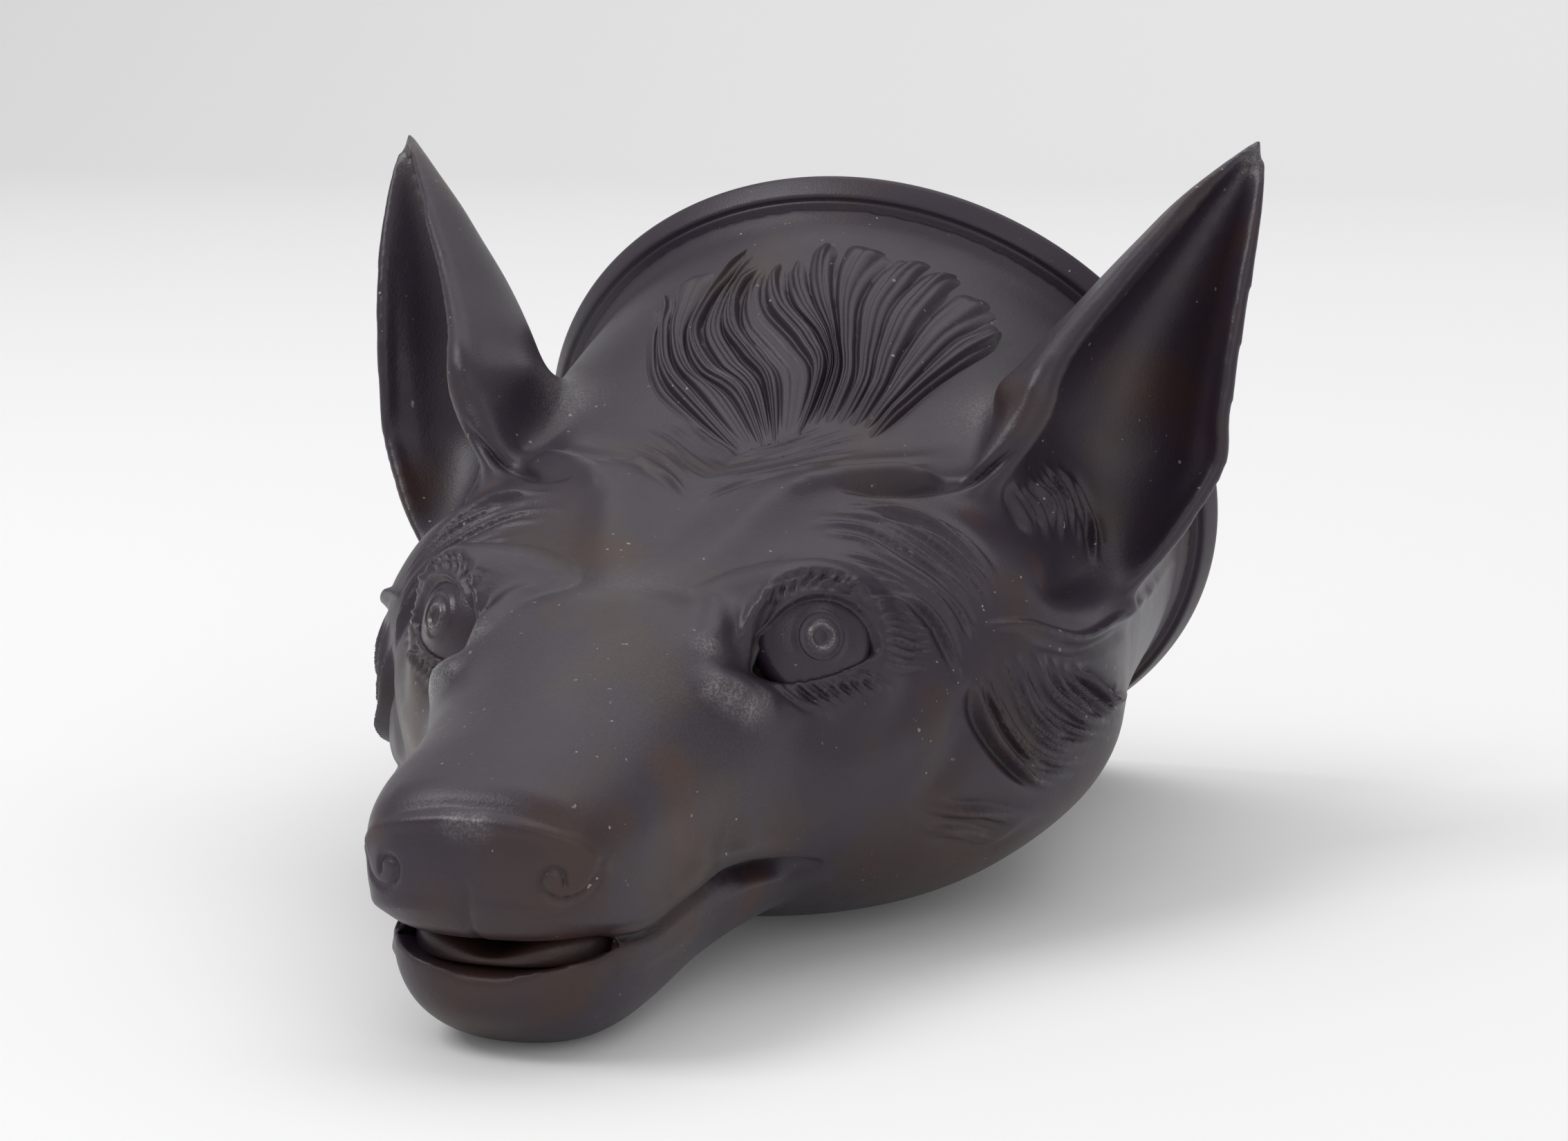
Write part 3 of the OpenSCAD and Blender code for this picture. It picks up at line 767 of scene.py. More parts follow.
def face_strokes():
    """Every stroke of the face: its side, line in pixels, reach, height and whether it is a hair."""
    found = []
    for _, side, line, reach, height in RIDGES:
        found.append((side, fine_line(np.array(line, float)), reach, height, False))
    for _, side, guides, count, reach, height in FUR:
        for i, line in enumerate(spread(guides, count)):
            t = np.linspace(varied(i, *FUR_START), varied(i, *FUR_STOP), FUR_POINTS)
            bent = through(line, t * (len(line) - 1))
            bent[:, 1] += FUR_WAVE * reach * np.sin(FUR_WAVES * t + FUR_SHIFT * i)
            found.append((side, bent, reach, height * varied(i, *FUR_HEIGHT), True))
    return found


def folded(vectors, flip):
    """Vectors with the other side's ones mirrored over."""
    return vectors * np.column_stack([flip, np.ones((len(flip), 2))])


def views_of_sides(points, normals):
    """Where each point, brought to either side, falls in the photograph, and how plainly it shows there."""
    pixels, depth = pixels_of(points)
    low = np.floor(pixels.min(0) / SIGHT_CELL).astype(int) - SIGHT_MARGIN
    cells = np.floor(pixels / SIGHT_CELL).astype(int) - low
    nearest = np.full(cells.max(0) + 2 * SIGHT_MARGIN, np.inf)
    np.minimum.at(nearest, tuple(cells.T), depth)
    views = {}
    for side in (NEAR, FAR):
        flip = np.where(points[:, 0] * side < 0, -1.0, 1.0)
        there = folded(points, flip)
        pixels, depth = pixels_of(there)
        cells = np.clip(np.floor(pixels / SIGHT_CELL).astype(int) - low, 0, np.array(nearest.shape) - 1)
        in_view = depth - nearest[tuple(cells.T)] < SIGHT_DEPTH
        facing = np.sum(folded(normals, flip) * unit(camera_place() - there), axis=1)
        views[side] = (pixels, in_view * smooth_step((facing + FACING_PAST) / FACING_EASE))
    return views


def eye_frame():
    """Ways across, up and out of the left eye."""
    across = unit(np.cross([0, 0, 1.0], EYE_LOOK))
    return across, np.cross(EYE_LOOK, across), EYE_LOOK


def open_eyes(points):
    """Draws the skin up to the lids round both eyes, and sinks it behind the eyeballs."""
    across, up, look = eye_frame()
    for side in (1, -1):
        flip = np.array([side, 1, 1])
        local = points * flip - EYE_AT
        near = np.flatnonzero(np.linalg.norm(local, axis=1) < EYE_ZONE)
        x = local[near] @ (across * math.cos(LID_TILT) + up * math.sin(LID_TILT))
        y = local[near] @ (up * math.cos(LID_TILT) - across * math.sin(LID_TILT))
        height = local[near] @ look
        rise = y + LID_CORNER_LOW
        tall = np.where(rise > 0, LID_ARCH, LID_SAG)
        gap = np.hypot((x + LID_INWARD) / LID_HALF, rise / tall)
        ball = BALL_TOP - BALL_CURVE * np.minimum(x**2 + y**2, BALL_EDGE**2)
        overhang = LID_LOW + LID_OVERHANG * smooth_step((y + LID_OVERHANG_LOW) / LID_OVERHANG_EASE)
        lid = ball + overhang * smooth_step((gap - LID_EDGE) / LID_EDGE_EASE)
        lid = lid - LID_SUNK * smooth_step((LID_INSIDE - gap) / LID_EDGE_EASE)
        drawn = smooth_step((LID_REACH - np.hypot(x, y)) / LID_EASE)
        target = height + drawn * (lid - height)
        points[near] += (target - height)[:, None] * look * flip
    return points


def round_eyes(points):
    """Marks the ring of skin round both eyes that is eased into its surroundings."""
    marked = np.zeros(len(points))
    for side in (1, -1):
        away = np.linalg.norm(points - EYE_AT * [side, 1, 1], axis=1)
        inside = smooth_step((away - EYE_RING_INSIDE) / EYE_RING_INSIDE_EASE)
        outside = smooth_step((EYE_RING_OUTSIDE - away) / EYE_RING_OUTSIDE_EASE)
        marked += inside * outside
    return marked


def rim_roll_rows(head_tree):
    """Rings of the roll that runs down the left ear's inner rim and on into the brow."""
    centres = []
    for place, radius in EAR_ROLL:
        inner = through(EAR_INNER, place)
        across = through(EAR_OUTER, place) - inner
        rise = through(EAR_INNER, place + ROLL_STEP) - through(EAR_INNER, place - ROLL_STEP)
        back = unit(np.cross(rise, across))
        centres.append(inner + ROLL_IN * radius * unit(across) + ROLL_BACK * radius * back)
    for x, y, radius in BROW_ROLL:
        top = head_tree.ray_cast(Vector((x, y, OVER_HEAD)), Vector((0, 0, -1)))[0]
        centres.append(np.array(top) - [0, 0, ROLL_SUNK * radius])
    return roll_rows(centres, [row[-1] for row in EAR_ROLL + BROW_ROLL])


def outer_rim_rows():
    """Rings of the thin roll along the left ear's outer rim."""
    centres = []
    for place, radius in OUTER_ROLL:
        outer = through(EAR_OUTER, place)
        across = outer - through(EAR_INNER, place)
        centres.append(outer - ROLL_SUNK * radius * unit(across))
    return roll_rows(centres, [row[-1] for row in OUTER_ROLL])


def roll_rows(centres, radii):
    """Rings of a round roll that follows a line and changes its radius along it."""
    place = np.linspace(0, len(centres) - 1, ROLL_ROWS)
    line = through(np.array(centres), place)
    radius = through(np.array(radii)[:, None], place)
    along_line = unit(np.gradient(line, axis=0))
    side = unit(np.cross(along_line, ROLL_ACROSS))
    out = np.cross(side, along_line)
    angle = np.linspace(0, 2 * math.pi, ROLL_SIDES + 1)[None, :, None]
    return line[:, None] + radius[:, None] * (np.cos(angle) * side[:, None] + np.sin(angle) * out[:, None])


def fused_skin():
    """Head, ears, jaw and rolls as separate lumps, worked into one skin as slip and fingers would."""
    head = wrapped_grid("mask", head_rows())
    left_ear = wrapped_grid("ear_lump", ear_rows())
    right_ear = wrapped_grid("other_ear_lump", mirrored(ear_rows()))
    jaw = wrapped_grid("jaw_lump", jaw_rows())
    head_tree = tree_of(head.data)
    ear_trees = [tree_of(ear.data) for ear in (left_ear, right_ear)]
    rolls = []
    for rows in (rim_roll_rows(head_tree), outer_rim_rows()):
        rolls.append(wrapped_grid("rim_roll_lump", rows))
        rolls.append(wrapped_grid("other_rim_roll_lump", mirrored(rows)))
    pick(head, left_ear, right_ear, jaw, *rolls)
    bpy.ops.object.join()
    head.data.remesh_voxel_size = SKIN_GRAIN
    bpy.ops.object.voxel_remesh()
    points = read_points(head.data)
    edges = read_edges(head.data)
    everywhere = np.ones(len(points))
    for _ in range(SKIN_SMOOTHINGS):
        points = relax(points, edges, HALF_WAY * everywhere, 1)
        points = relax(points, edges, BACK_OUT * everywhere, 1)
    points = relax(points, edges, HALF_WAY * everywhere, LAST_SMOOTHINGS)
    from_head = distance_to(head_tree, points, JOINT_LIMIT)
    from_ears = np.minimum(*[distance_to(tree, points, JOINT_LIMIT) for tree in ear_trees])
    joint = bell(from_head + from_ears, JOINT_REACH)
    points = relax(points, edges, JOINT_EASE * joint, JOINT_SMOOTHINGS)
    lips = smooth_step((LIPS_BACK - points[:, 1]) / LIPS_BACK_EASE)
    lips = lips * smooth_step((LIPS_TOP - points[:, 2]) / LIPS_TOP_EASE)
    points = relax(points, edges, HALF_WAY * lips, LIPS_SMOOTHINGS)
    points[:, 2] = np.maximum(points[:, 2], 0)
    write_points(head.data, points)
    return head


def near_strokes(centres, normals, strokes):
    """Marks the faces that fine strokes or the eyes lie on."""
    marked = np.zeros(len(centres), bool)
    views = views_of_sides(centres, normals)
    for side, line, reach, _, _ in strokes:
        if np.min(reach) < FINE_REACH:
            pixels, weight = views[side]
            span = FINE_SPAN * np.max(reach) + FINE_MARGIN
            near = np.flatnonzero(within(pixels, line, span) & (weight > 0) & ~marked)
            marked[near] = along(pixels[near], line)[0] < span
    for side in (1, -1):
        marked |= np.linalg.norm(centres - EYE_AT * [side, 1, 1], axis=1) < EYE_FINE
    return marked


def sculpt(skin):
    """Works brows, lids, nose, mouth and fur into the skin."""
    mesh = skin.data
    strokes = face_strokes()
    marked = near_strokes(face_centres(mesh), values_of(mesh.polygons, "normal"), strokes)
    pick(skin)
    mesh.polygons.foreach_set("select", marked)
    bpy.context.tool_settings.mesh_select_mode = (False, False, True)
    bpy.ops.object.mode_set(mode="EDIT")
    bpy.ops.mesh.subdivide(number_cuts=1)
    bpy.ops.object.mode_set(mode="OBJECT")
    points = read_points(mesh)
    edges = read_edges(mesh)
    points = relax(points, edges, np.full(len(points), CUT_EASE), CUT_SMOOTHINGS)
    points = open_eyes(points)
    points = relax(points, edges, HALF_WAY * round_eyes(points), EYE_SMOOTHINGS)
    write_points(mesh, points)
    normals = read_normals(mesh)
    views = views_of_sides(points, normals)
    half = np.full(len(points), HALF_WAY)
    for side in (NEAR, FAR):
        pixels, weight = views[side]
        views[side] = (pixels, relax(weight[:, None], edges, half, SIGHT_SMOOTHINGS)[:, 0])
    lift = PHILTRUM_DEPTH * bell(points[:, 0], PHILTRUM_REACH)
    lift *= smooth_step((PHILTRUM_TOP - points[:, 2]) / PHILTRUM_EASE)
    lift *= smooth_step((PHILTRUM_BACK - points[:, 1]) / PHILTRUM_EASE) * (points[:, 2] > PHILTRUM_LOW)
    for side, line, reach, height, hair in strokes:
        pixels, weight = views[side]
        stroke(pixels, weight, lift, line, reach, height, hair)
    for _, side, pixel, reach, height in DABS:
        pixels, weight = views[side]
        lift += height * weight * bell(np.linalg.norm(pixels - pixel, axis=1), reach)
    points = points + lift[:, None] * normals
    points[:, 2] = np.maximum(points[:, 2], 0)
    write_points(mesh, points)


def open_mouth_of_cup(skin):
    """Cuts the skin's closed end away inside the collar."""
    mesh = skin.data
    beyond = (face_centres(mesh) - SEAT) @ CUP_AXIS
    pick(skin)
    bpy.ops.object.mode_set(mode="EDIT")
    bpy.ops.mesh.select_all(action="DESELECT")
    bpy.ops.object.mode_set(mode="OBJECT")
    mesh.polygons.foreach_set("select", beyond > SKIN_END)
    bpy.ops.object.mode_set(mode="EDIT")
    bpy.ops.mesh.delete(type="FACE")
    bpy.ops.object.mode_set(mode="OBJECT")


def thin_out(piece, most_triangles):
    """Thins a mesh where it is smooth, down to a count of triangles."""
    count = sum(len(polygon.vertices) - 2 for polygon in piece.data.polygons)
    if count > most_triangles:
        pick(piece)
        modifier = piece.modifiers.new("thin_out", "DECIMATE")
        modifier.ratio = most_triangles / count
        bpy.ops.object.modifier_apply(modifier=modifier.name)


def add_values(mesh, name, values):
    """Keeps a number for each point of a mesh, which its material reads."""
    layer = mesh.attributes.new(name, "FLOAT", "POINT")
    layer.data.foreach_set("value", np.ascontiguousarray(values, np.float32))


def patches(points, tree, spots):
    """How strongly each point lies in patches that are given by pixels of the photograph, on both sides."""
    strength = np.zeros(len(points))
    for pixel, reach, most in spots:
        place = drop(tree, [pixel])[0]
        for side in (place, mirrored(place)):
            strength = np.maximum(strength, most * bell(np.linalg.norm(points - side, axis=1), reach))
    return strength


def wear_and_painted_light_of(mesh, tree):
    """Marks the places polished by hands, where highlights are painted, those that fired brown, and the
    hollows, where shade is painted.
    """
    points = read_points(mesh)
    edges = read_edges(mesh)
    hollow = np.sum((neighbour_mean(points, edges) - points) * read_normals(mesh), axis=1)
    half = np.full(len(points), HALF_WAY)
    hollow = relax(hollow[:, None], edges, half, HOLLOW_SMOOTHINGS)[:, 0]
    add_values(mesh, "rubbed_and_highlight", patches(points, tree, RUBBED_AND_HIGHLIGHTS))
    add_values(mesh, "browned", patches(points, tree, BROWNED))
    add_values(mesh, "hollow", np.clip(HOLLOW_FLAT + HOLLOW_GAIN * hollow, 0, 1))


def to_metres(piece):
    """Brings a mesh from millimetres to metres."""
    write_points(piece.data, read_points(piece.data) * MM)


def forelock_piece(tree):
    """A patch of wavy locks, laid on the crown lock by lock and raised into rounded strands."""
    last = len(LOCKS) - 1
    locks = np.array(LOCKS, float)
    drawn = LOCK_DRAWN * np.clip((LOCK_FREE - np.arange(len(locks))) / LOCK_GIVE, 0, 1)
    locks[:, 0] += drawn[:, None] * (LOCK_MEETING - locks[:, 0])
    down = np.linspace(0, locks.shape[1] - 1, LOCK_ROWS)
    flat = np.array([through(lock, down).ravel() for lock in locks])
    place = np.linspace(0, last, LOCK_COLUMNS)
    pixels = through(flat, place).reshape(LOCK_COLUMNS, LOCK_ROWS, 2)
    ground = drop(tree, pixels.reshape(-1, 2)).reshape(LOCK_COLUMNS, LOCK_ROWS, 3)
    for row in range(2, LOCK_ROWS):
        step = np.linalg.norm(ground[:, row] - ground[:, row - 1], axis=1)
        lost = step > LOCK_STEP
        last_step = ground[lost, row - 1] - ground[lost, row - 2]
        ground[lost, row] = ground[lost, row - 1] + LOCK_CARRY * last_step
    t = np.linspace(0, 1, LOCK_ROWS)[None, :]
    q = place[:, None] + LOCK_SWAY * np.sin(LOCK_SWAY_TURN * place[:, None] + LOCK_SWAY_WAVE * t) * t
    number = np.floor(q)
    own_tip = LOCK_SHORTEST + LOCK_LENGTH_SWING * np.sin(LOCK_LENGTH_TURN * number) ** 2
    own_rise = LOCK_MIDDLE_RISE + LOCK_RISE_SWING * np.sin(LOCK_RISE_TURN * number)
    narrow = LOCK_ROUND + LOCK_SHARPENING * smooth_step((t - own_tip + LOCK_TAPER) / LOCK_TAPER)
    tress = np.abs(np.sin(math.pi * q)) ** narrow
    sway = STRAND_SWAY * np.sin(STRAND_WAVE * t + STRAND_TURN * number)
    strand = np.abs(np.sin(STRANDS_PER_LOCK * math.pi * q + sway)) ** STRAND_ROUND
    edge = smooth_step(t / LOCK_ROOT) * smooth_step((own_tip - t) / LOCK_TIP)
    side = smooth_step(place / LOCK_LEFT) * smooth_step((last - place) / LOCK_RIGHT)
    height = LOCK_RISE * own_rise * edge * side[:, None]
    height = height * (LOCK_BED + LOCK_BODY * tress + LOCK_STRANDS * strand) - LOCK_SUNK
    rows = ground.transpose(1, 0, 2)
    out = unit(np.cross(np.gradient(rows, axis=1), np.gradient(rows, axis=0)))
    out = np.where(out[..., 2:] < 0, -out, out)
    deselect()
    bpy.ops.mesh.primitive_grid_add(x_subdivisions=LOCK_COLUMNS - 1, y_subdivisions=LOCK_ROWS - 1, size=1)
    piece = bpy.context.object
    piece.name = "forelock_hair"
    write_points(piece.data, (rows + height.T[..., None] * out).reshape(-1, 3))
    if np.mean(read_normals(piece.data)[:, 2]) < 0:
        edit_all()
        bpy.ops.mesh.flip_normals()
        bpy.ops.object.mode_set(mode="OBJECT")
    return piece


def turned(name, profile, sides, solid):
    """A piece turned from a circle: each step of the profile, radius and height, is drawn from the last."""
    deselect()
    fill = "NGON" if solid else "NOTHING"
    radius, z = profile[0]
    bpy.ops.mesh.primitive_circle_add(vertices=sides, radius=radius, fill_type=fill, location=(0, 0, z))
    piece = bpy.context.object
    piece.name = name
    bpy.ops.object.transform_apply(location=True)
    edit_all()
    for next_radius, next_z in profile[1:]:
        shift = {"value": (0, 0, next_z - z)}
        if solid:
            bpy.ops.mesh.extrude_region_move(TRANSFORM_OT_translate=shift)
        else:
            bpy.ops.mesh.extrude_edges_move(TRANSFORM_OT_translate=shift)
        ratio = next_radius / radius
        bpy.ops.transform.resize(value=(ratio, ratio, 1), center_override=(0, 0, next_z))
        radius = next_radius
        z = next_z
    bpy.ops.mesh.select_all(action="SELECT")
    bpy.ops.mesh.remove_doubles(threshold=WELD)
    bpy.ops.mesh.normals_make_consistent(inside=False)
    bpy.ops.object.mode_set(mode="OBJECT")
    return piece


def stand_at(piece, place, way):
    """Turns a piece's axis along a way, moves it to a place and leaves both in its mesh."""
    pick(piece)
    piece.rotation_euler = Vector(way).to_track_quat("Z", "Y").to_euler()
    piece.location = Vector(place)
    bpy.ops.object.transform_apply(location=True, rotation=True, scale=True)


def mirror_copy(piece, name):
    """The same piece on the other side of the head, with its own mesh."""
    pick(piece)
    bpy.ops.object.duplicate()
    copy = bpy.context.object
    copy.name = name
    copy.scale = (-1, 1, 1)
    bpy.ops.object.transform_apply(location=True, rotation=True, scale=True)
    turn_faces(copy, False)
    return copy


# Lip ring: radius and distance from the seat, up the outside, over the lip and down inside
LIP_PROFILE = [(30.4, 0.4), (33.4, 0.4), (33.5, 3.0), (34.9, 3.55), (35.35, 3.75), (35.6, 3.8),
               (35.75, 3.9), (35.8, 4.05), (36.0, 4.1), (36.2, 4.05), (36.4, 4.1), (36.6, 4.35),
               (36.85, 4.8), (37.12, 5.3), (37.36, 5.8), (37.5, 6.15), (37.42, 6.4), (37.2, 6.55),
               (36.9, 6.6), (33.9, 6.6), (33.4, 6.5), (33.0, 6.2), (32.4, 5.2), (31.4, 3.4), (30.7, 2.0),
               (30.3, 0.8), (30.4, 0.4)]
LIP_SIDES = 256
# Eye: radius and height over the lids' plane, from the back up over the ball with its turned rings
EYE_PROFILE = [(5.2, -3.0), (5.3, -2.0), (5.0, -1.3), (4.6, -1.06), (4.0, -0.74), (3.4, -0.46), (2.8, -0.23),
               (2.4, -0.1), (2.28, 0.04), (2.12, 0.08), (2.0, -0.02), (1.9, -0.06), (1.6, 0.06), (1.3, 0.14),
               (1.2, 0.34), (1.06, 0.42), (0.92, 0.36), (0.8, 0.2), (0.62, 0.14), (0.45, 0.18), (0.1, 0.2)]
EYE_SIDES = 64

# Tongue: its middle, half width, half length and squareness, its walls, and its top with the groove along it
TONGUE_Y = -51.0
TONGUE_Z = 8.3
TONGUE_HALF = 9.2
TONGUE_LONG = 11.3
TONGUE_SQUARE = 2.6
TONGUE_WALL = 0.5
TONGUE_TOP = 3.4
TONGUE_BOTTOM = 1.0
TONGUE_GROOVE = 2.8
TONGUE_GROOVE_REACH = 3.8
TONGUE_SIDES = 96
TONGUE_RINGS = 48

# Angles in degrees below which an edge is shaded smooth, on moulded pieces, turned pieces and the floor
MOULDED_SMOOTH = 180
TURNED_SMOOTH = 50
FLOOR_SMOOTH = 60


def smooth_by_angle(piece, degrees):
    """Shades a piece smooth, with its sharp edges kept."""
    pick(piece)
    bpy.ops.object.shade_smooth_by_angle(angle=math.radians(degrees))


def tongue_piece():
    """A broad tongue that fills the mouth behind the lower lip, hollowed in the middle."""
    deselect()
    bpy.ops.mesh.primitive_uv_sphere_add(segments=TONGUE_SIDES, ring_count=TONGUE_RINGS, radius=1)
    piece = bpy.context.object
    piece.name = "tongue_flesh"
    points = read_points(piece.data)
    flat_r = np.linalg.norm(points[:, :2], axis=1)
    square = np.abs(points[:, 0]) ** TONGUE_SQUARE + np.abs(points[:, 1]) ** TONGUE_SQUARE
    wide = flat_r / (square ** (1 / TONGUE_SQUARE) + TINY)
    x = TONGUE_HALF * points[:, 0] * wide
    y = TONGUE_Y + TONGUE_LONG * points[:, 1] * wide
    wall = np.sign(points[:, 2]) * np.abs(points[:, 2]) ** TONGUE_WALL
    top = TONGUE_TOP - TONGUE_GROOVE * bell(x, TONGUE_GROOVE_REACH)
    z = TONGUE_Z + np.where(wall > 0, top * wall, TONGUE_BOTTOM * wall)
    write_points(piece.data, np.stack([x, y, z], -1))
    return piece


class Shade:
    """A value in a material. Sums on it add Math nodes, and node() adds any other node."""

    def __init__(self, tree, socket=None):
        self.tree = tree
        self.socket = socket

    def node(self, kind, settings, sockets, output=0):
        """Adds a node, with its settings first and then the values or links of its sockets."""
        made = self.tree.nodes.new(kind)
        for name, value in settings.items():
            setattr(made, name, value)
        for name, value in sockets.items():
            self.join(made.inputs[name], value)
        return Shade(self.tree, made.outputs[output]) if made.outputs else None

    def join(self, socket, value):
        """Links a value to a socket, or sets it there."""
        if isinstance(value, Shade):
            self.tree.links.new(value.socket, socket)
        else:
            socket.default_value = value

    def sum(self, operation, first, second):
        """Adds a Math node."""
        return self.node("ShaderNodeMath", {"operation": operation}, {0: first, 1: second})

    def __add__(self, other):
        return self.sum("ADD", self, other)

    def __radd__(self, other):
        return self.sum("ADD", other, self)

    def __sub__(self, other):
        return self.sum("SUBTRACT", self, other)

    def __rsub__(self, other):
        return self.sum("SUBTRACT", other, self)

    def __mul__(self, other):
        return self.sum("MULTIPLY", self, other)

    def __rmul__(self, other):
        return self.sum("MULTIPLY", other, self)

    def between(self, low, high):
        """This value eased from 0 at low to 1 at high."""
        settings = {"interpolation_type": "SMOOTHSTEP"}
        return self.node("ShaderNodeMapRange", settings, {"Value": self, "From Min": low, "From Max": high})

    def noise(self, place, scale, detail):
        """Noise over the piece at so many features to the metre."""
        return self.node("ShaderNodeTexNoise", {}, {"Vector": place, "Scale": scale, "Detail": detail})

    def blend(self, factor, first, second):
        """A colour between two colours, by the Mix node's sockets for colours."""
        return self.node("ShaderNodeMix", {"data_type": "RGBA"}, {0: factor, 6: first, 7: second}, 2)

    def attribute(self, name):
        """A number that the mesh keeps for each of its points."""
        return self.node("ShaderNodeAttribute", {"attribute_name": name}, {}, 2)


# Colours of the stoneware, among them a painted highlight for places polished by hands and a painted shade
# for hollows
COLD_BLACK = (0.0245, 0.0160, 0.0275, 1)
WARM_BLACK = (0.036, 0.0180, 0.0145, 1)
BROWN_BLACK = (0.046, 0.0205, 0.0165, 1)
PAINTED_HIGHLIGHT_GREY = (0.16, 0.15, 0.15, 1)
PAINTED_SHADE_BLACK = (0.019, 0.0132, 0.0162, 1)
DUST = (0.26, 0.22, 0.18, 1)
# Noises of the finish: features to the metre and detail
CLOUDS = (55.0, 4.0)
MOTTLE = (160.0, 3.0)
GRAIN = (4200.0, 2.0)
COARSE = (700.0, 3.0)
SPECKS = (1500.0, 1.0)
SPARSE = (120.0, 2.0)
NOISE_MIDDLE = 0.5
# Values between which each look comes in
WARM_FROM_TO = (0.5, 0.72)
SPECKS_FROM_TO = (0.735, 0.77)
SPARSE_FROM_TO = (0.5, 0.62)
BROWN_FROM_TO = (0.1, 0.9)
GLINT_FROM_TO = (0.42, 0.62)
PAINTED_SHADE_FROM_TO = (0.62, 1.0)
DRY_FROM_TO = (0.6, 1.0)
# Parts of the brown and of the shine, and what mottle, coarse grain, shine and hollows do to the roughness
BROWN_EVEN = 0.5
SHINE_EVEN = 0.15
SHINE_MOTTLE = 0.3
SHINE_GLINT = 0.6
MOTTLE_ROUGH = 0.12
COARSE_ROUGH = 0.07
SHINE_ROUGH = 0.22
DRY_ROUGH = 0.1
# Relief of the grain, and the gloss of fired clay
GRAIN_RELIEF = 0.6
COARSE_RELIEF = 0.4
RELIEF_STRENGTH = 0.45
RELIEF_DEPTH = 0.0001
CLAY_GLOSS = 0.42
CLAY_IOR = 1.5
# Roughness of the moulded, turned and polished pieces and of the bowl
HANDLED_ROUGH = 0.41
TURNED_ROUGH = 0.42
POLISHED_ROUGH = 0.32
BOWL_ROUGH = 0.5


def stoneware(name, worn_with_painted_light, roughness):
    """Dry black stoneware: purple-black, with warm clouds, grain, specks and, for handled pieces, places
    polished by hands with a painted highlight, and hollows with painted shade.
    """
    material = bpy.data.materials.new(name)
    material.use_nodes = True
    tree = material.node_tree
    tree.nodes.clear()
    start = Shade(tree)
    place = start.node("ShaderNodeTexCoord", {}, {}, 3)
    clouds = start.noise(place, *CLOUDS)
    mottle = start.noise(place, *MOTTLE)
    grain = start.noise(place, *GRAIN)
    coarse = start.noise(place, *COARSE)
    specks = start.noise(place, *SPECKS).between(*SPECKS_FROM_TO)
    sparse = start.noise(place, *SPARSE).between(*SPARSE_FROM_TO)
    colour = start.blend(clouds.between(*WARM_FROM_TO), COLD_BLACK, WARM_BLACK)
    rough = roughness + MOTTLE_ROUGH * (mottle - NOISE_MIDDLE) + COARSE_ROUGH * (coarse - NOISE_MIDDLE)
    if worn_with_painted_light:
        rubbed_and_highlight = start.attribute("rubbed_and_highlight")
        hollow = start.attribute("hollow")
        browned = start.attribute("browned") * (BROWN_EVEN + mottle)
        # Places polished by hands get less roughness and a painted highlight: a lighter colour with glints
        # from the grain
        shine = rubbed_and_highlight * (SHINE_EVEN + SHINE_MOTTLE * mottle + SHINE_GLINT * grain.between(*GLINT_FROM_TO))
        colour = start.blend(browned.between(*BROWN_FROM_TO), colour, BROWN_BLACK)
        colour = start.blend(shine, colour, PAINTED_HIGHLIGHT_GREY)
        # Painted shade: the hollows are darkened
        colour = start.blend(hollow.between(*PAINTED_SHADE_FROM_TO), colour, PAINTED_SHADE_BLACK)
        rough = rough - SHINE_ROUGH * shine + DRY_ROUGH * hollow.between(*DRY_FROM_TO)
    colour = start.blend(specks * sparse, colour, DUST)
    relief = GRAIN_RELIEF * grain + COARSE_RELIEF * coarse
    bump = start.node("ShaderNodeBump", {}, {
        "Strength": RELIEF_STRENGTH,
        "Distance": RELIEF_DEPTH,
        "Height": relief,
    })
    surface = start.node("ShaderNodeBsdfPrincipled", {}, {
        "Base Color": colour,
        "Roughness": rough,
        "Specular IOR Level": CLAY_GLOSS,
        "IOR": CLAY_IOR,
        "Normal": bump,
    })
    start.node("ShaderNodeOutputMaterial", {}, {"Surface": surface})
    return material


def dress(piece, material, *nodes):
    """Gives a piece its finish, fixes it to the cup and lets it stand for its CAD nodes."""
    piece.data.materials.clear()
    piece.data.materials.append(material)
    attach(piece, "root")
    if nodes:
        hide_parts(*nodes)


